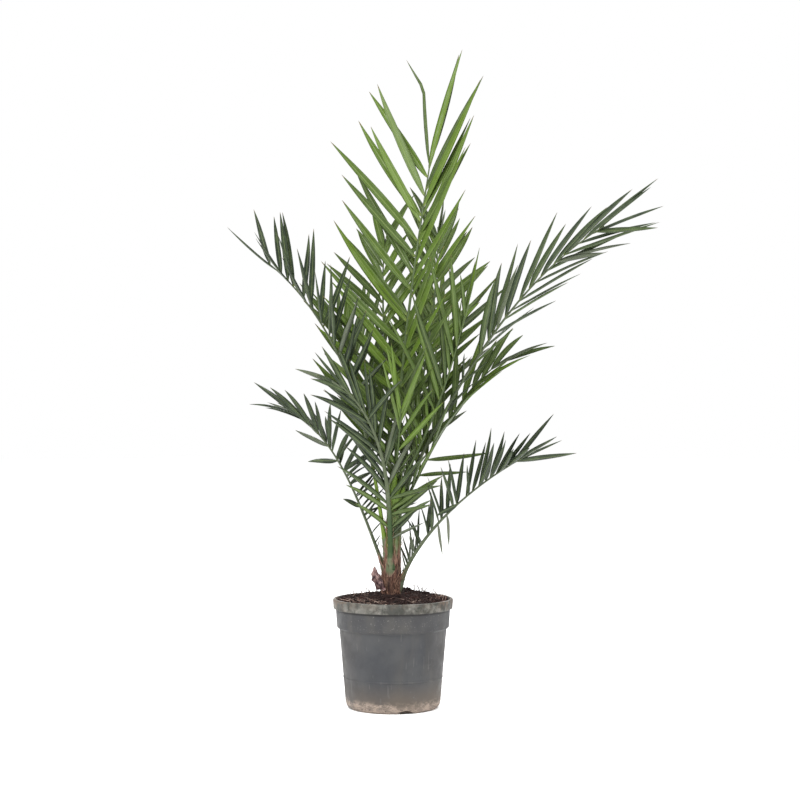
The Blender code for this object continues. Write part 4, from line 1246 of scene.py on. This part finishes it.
# How glossy dark green, and how yellow-green, the lower part of a stalk is.
STALK_TINTS = dict(front_left_frond=(0.85, 0, 0), left_upper_frond=(0, 0.9, 0))
TINT_FADE = (0.22, 0.46)

# How much a leaflet's green varies, how many leaflets are pale, and how pale
# they are on the old and on the young fronds.
GREEN_UNEVEN = 0.10
PALE_LEAFLETS = 0.06
PALE_OLD, PALE_YOUNG = 0.5, 0.2

for frond in FRONDS:
    name, green = frond["name"], frond["green"]
    shape = stalk_shape(frond)
    note_space(shape)
    stalk = new_piece(name + "_stalk", shape, stalk_skin, "frond_green")
    along = np.linspace(0, 1, STALK_RINGS)[:, None]
    under = np.clip(-np.sin(around(STALK_SIDES)), 0, 1)
    numbers = stacked(green, along, under)[None]
    put_numbers(stalk, "leaf_kind", with_ends(numbers, (green, 0, 0), (green, 1, 0)))
    tint = (1 - eased(share_of(along, TINT_FADE)) + 0 * under)[..., None]
    tint = tint * STALK_TINTS.get(name, (0, 0, 0))
    put_numbers(stalk, "stalk_tint", with_ends(tint[None], tint[0, 0], (0, 0, 0)))

    rows = leaflet_rows(frond)
    blades = leaflet_shape(frond, rows)
    note_space(closed_tubes(*blades[:3]))
    chance = np.random.RandomState(frond["seed"] + 200)
    lower = LOWER_GREEN.get(name, 0) * (1 - eased(share_of(rows[:, 1], LOWER_GREEN_FADE)))
    uneven = chance.uniform(-GREEN_UNEVEN, GREEN_UNEVEN, len(rows))
    shades = chance.uniform(0, 1, len(rows))
    pale = PALE_OLD if green < 0.5 else PALE_YOUNG
    pale = pale * (chance.uniform(0, 1, len(rows)) < PALE_LEAFLETS)
    kinds = stacked(
        np.clip(green + lower + uneven, 0, 1), shades, np.maximum(rows[:, 9], pale)
    )
    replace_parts(new_blades(name + "_leaflets", blades, kinds), name)
    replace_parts(stalk, name)

# Leaf sheaths: the foot of each stalk spreads into a broad pale sheath that
# clasps the stem, thick in the middle and thin, dry and brown at its edges.

SHEATH_BELOW = 0.013
SHEATH_LOWEST = 0.262
SHEATH_ABOVE = 0.032
SHEATH_EASE = 0.024
SHEATH_HALF_WIDTHS = (0.0098, 0.0058)
SHEATH_HEIGHTS = (0.25, 0.38)
SHEATH_SPREAD = (-0.004, 0.030)
SHEATH_SLIM = 0.92
SHEATH_SWELL = 0.0024
SHEATH_LOW_NARROW = 0.45
SHEATH_LOW_THIN = 0.8
SHEATH_LEAST_BEND = 0.25
SHEATH_EDGE = 0.0003
SHEATH_ROOT = 0.0020
SHEATH_RINGS = 48
SHEATH_SIDES = 32


def sheath_rings(frond):
    """Rings of a sheath, which runs along the stem's side below the stalk's
    foot and along the stalk above it. On the stem its outside follows the
    stem's round with a swell in the middle, and up the stalk it eases into
    the stalk's own section. With them come the place across and along.
    """
    height, turn = frond["foot"]
    out, level = level_ways(math.radians(turn))
    below = max(SHEATH_BELOW, height - SHEATH_LOWEST)
    run = np.linspace(-below, SHEATH_ABOVE, SHEATH_RINGS)
    at = np.clip(run / frond["length"], 0, 1)
    low = height + np.minimum(run, 0)
    on_stem = stem_middle(low) + out * (stem_radius(low) - STALK_SINK)[:, None]
    middle = np.where(run[:, None] < 0, on_stem, on_stalk(frond, at))
    _, across, face = frond_frame(frond, at)
    ease = eased(run / SHEATH_EASE)[:, None]
    across = unit(level + (across - level) * ease)
    face = unit((face + out) * ease - out)

    stalk = between(frond["thick"], at)
    widest = np.interp(height, SHEATH_HEIGHTS, SHEATH_HALF_WIDTHS)
    half = SHEATH_SLIM * stalk * (1 + foot_flare(frond, at))
    narrowed = 1 - eased(share_of(run, SHEATH_SPREAD))
    half = half + narrowed * np.maximum(0, widest - half[0])
    sunk = eased(-run / below)[:, None]
    place, deep = np.cos(around(SHEATH_SIDES)), np.sin(around(SHEATH_SIDES))
    wide = half[:, None] * (1 - SHEATH_LOW_NARROW * sunk) * place
    bend = stem_radius(low)[:, None]
    least = (SHEATH_LEAST_BEND * bend) ** 2
    round_off = bend - np.sqrt(np.maximum(bend ** 2 - wide ** 2, least))
    swell = SHEATH_SWELL * (1 - SHEATH_LOW_THIN * sunk) * (1 - place ** 2)
    outside = STALK_SINK - round_off + SHEATH_EDGE + swell
    inside = STALK_SINK - round_off - SHEATH_ROOT
    own = SHEATH_SLIM * STALK_FLAT * stalk[:, None] * np.abs(deep)
    outer = -outside * (1 - ease) - own * ease
    inner = -inside * (1 - ease) + own * ease
    rings = ringed(middle, wide, across, np.where(deep < 0, outer, inner), face)
    along = (run + below)[:, None] / (SHEATH_ABOVE + below)
    return rings, stacked(place, along, frond["green"])


sheath_skin, add, place = new_material("sheath_skin")
height = axes_of(add, place)["Z"]
sheath_across, sheath_along, sheath_green = told(add, "sheath_place")
ribs = noise(add, place, 420, 3, (1, 1, 0.07))
blotch = noise(add, place, 110, 4, (1, 1, 0.6))
fresh = layered(
    add, mixed(add, sheath_green, srgb(94, 108, 78), srgb(108, 130, 58)),
    (spread_over(add, ribs, 0.4, 0.62), 0.5, (74, 84, 52)),
    (spread_over(add, blotch, 0.5, 0.68), 0.5, (138, 134, 104)),
    (spread_over(add, height, 0.32, 0.40), 1.0, (124, 158, 46)),
)
dried = shaded(add, ribs, 0.38, 0.64, (92, 58, 46), (164, 128, 106))
edge = times(add, plus(add, blotch, -0.5), 0.9)
edge = plus(add, size_of(add, sheath_across), edge)
brown = plus(
    add, spread_over(add, edge, 0.62, 0.86),
    spread_over(add, plus(add, sheath_along, times(add, blotch, 0.3)), 0.40, 0.16),
)
brown = times(add, add("Clamp", {0: brown}), spread_over(add, height, 0.330, 0.285))
finish(sheath_skin, add, mixed(add, brown, fresh, dried), 0.56, 0.62, (0.8, 0.0005, ribs))

rings, numbers = map(np.stack, zip(*(sheath_rings(frond) for frond in FRONDS)))
sheath_shape = closed_tubes(rings, rings[:, 0].mean(1), rings[:, -1].mean(1))
sheaths = new_piece("leaf_sheaths", sheath_shape, sheath_skin, "frond_green")
put_numbers(sheaths, "sheath_place", with_ends(numbers, (0, 0, 0.3), (0, 1, 0.3)))

# Basal spines: on the bare foot of each stalk the leaflets are only stiff,
# narrow spines, a few centimetres long and shorter towards the stem.

SPINES_A_STALK = 20
SPINE_LENGTHS = (0.024, 0.084)
SPINE_WIDTHS = (0.0022, 0.0062)
SPINE_SPREADS = (-24.0, 2.0)
SPINE_LIFTS = (-26.0, 14.0)
SPINE_TWISTS = (-40.0, 40.0)
SPINE_SAG = 0.03
SPINE_GREEN = 0.6
SPINE_SHADE = 0.8
SPINE_DRYNESS = 0.5
DRY_SPINES = 0.15
SPINES_FROM = 0.22
# The first ring of a spine that has to stand clear of the other pieces.
FREE_RING = 4


def spine_rows(frond):
    """Sizes of one stalk's spines, in the columns of leaflet_rows. They
    stand on either side in turn, longer and wider evenly up the stalk.
    """
    chance = np.random.RandomState(frond["seed"] + 300)
    number = np.arange(SPINES_A_STALK)
    share = (number + chance.uniform(0.1, 0.9, SPINES_A_STALK)) / SPINES_A_STALK
    return stacked(
        1.0 - 2 * (number % 2),
        frond["bare"] * between((SPINES_FROM, 1), share),
        frond["spread"][0] + chance.uniform(*SPINE_SPREADS, SPINES_A_STALK),
        frond["lift"][0] + chance.uniform(*SPINE_LIFTS, SPINES_A_STALK),
        between(SPINE_LENGTHS, share) * chance.uniform(0.6, 1.2, SPINES_A_STALK),
        SPINE_SAG,
        chance.uniform(*SPINE_TWISTS, SPINES_A_STALK),
        between(SPINE_WIDTHS, share),
        0,
        0,
    )


spines = zip(*(leaflet_shape(frond, spine_rows(frond)) for frond in FRONDS))
spines = [np.concatenate(parts) for parts in spines]
free = spines[0][:, FREE_RING:]
points, quads, fans = closed_tubes(free, free[:, 0].mean(1), spines[2])
taken = BVHTree.FromPolygons(placed["points"], placed["faces"])
standing = BVHTree.FromPolygons((1000 * points).tolist(), quads.tolist() + fans.tolist())
touched = np.array(sorted({pair[0] for pair in standing.overlap(taken)}), int)
of_quad, of_fan = len(quads) // len(free), len(fans) // len(free)
tube = np.where(touched < len(quads), touched // of_quad, (touched - len(quads)) // of_fan)
clear = np.setdiff1d(np.arange(len(free)), tube)
greens = np.repeat([frond["green"] for frond in FRONDS], SPINES_A_STALK)
chance = np.random.RandomState(31)
kinds = stacked(
    SPINE_GREEN * greens[clear],
    chance.uniform(0, SPINE_SHADE, len(clear)),
    SPINE_DRYNESS * (chance.uniform(0, 1, len(clear)) < DRY_SPINES),
)
new_blades("basal_spines", [part[clear] for part in spines], kinds)
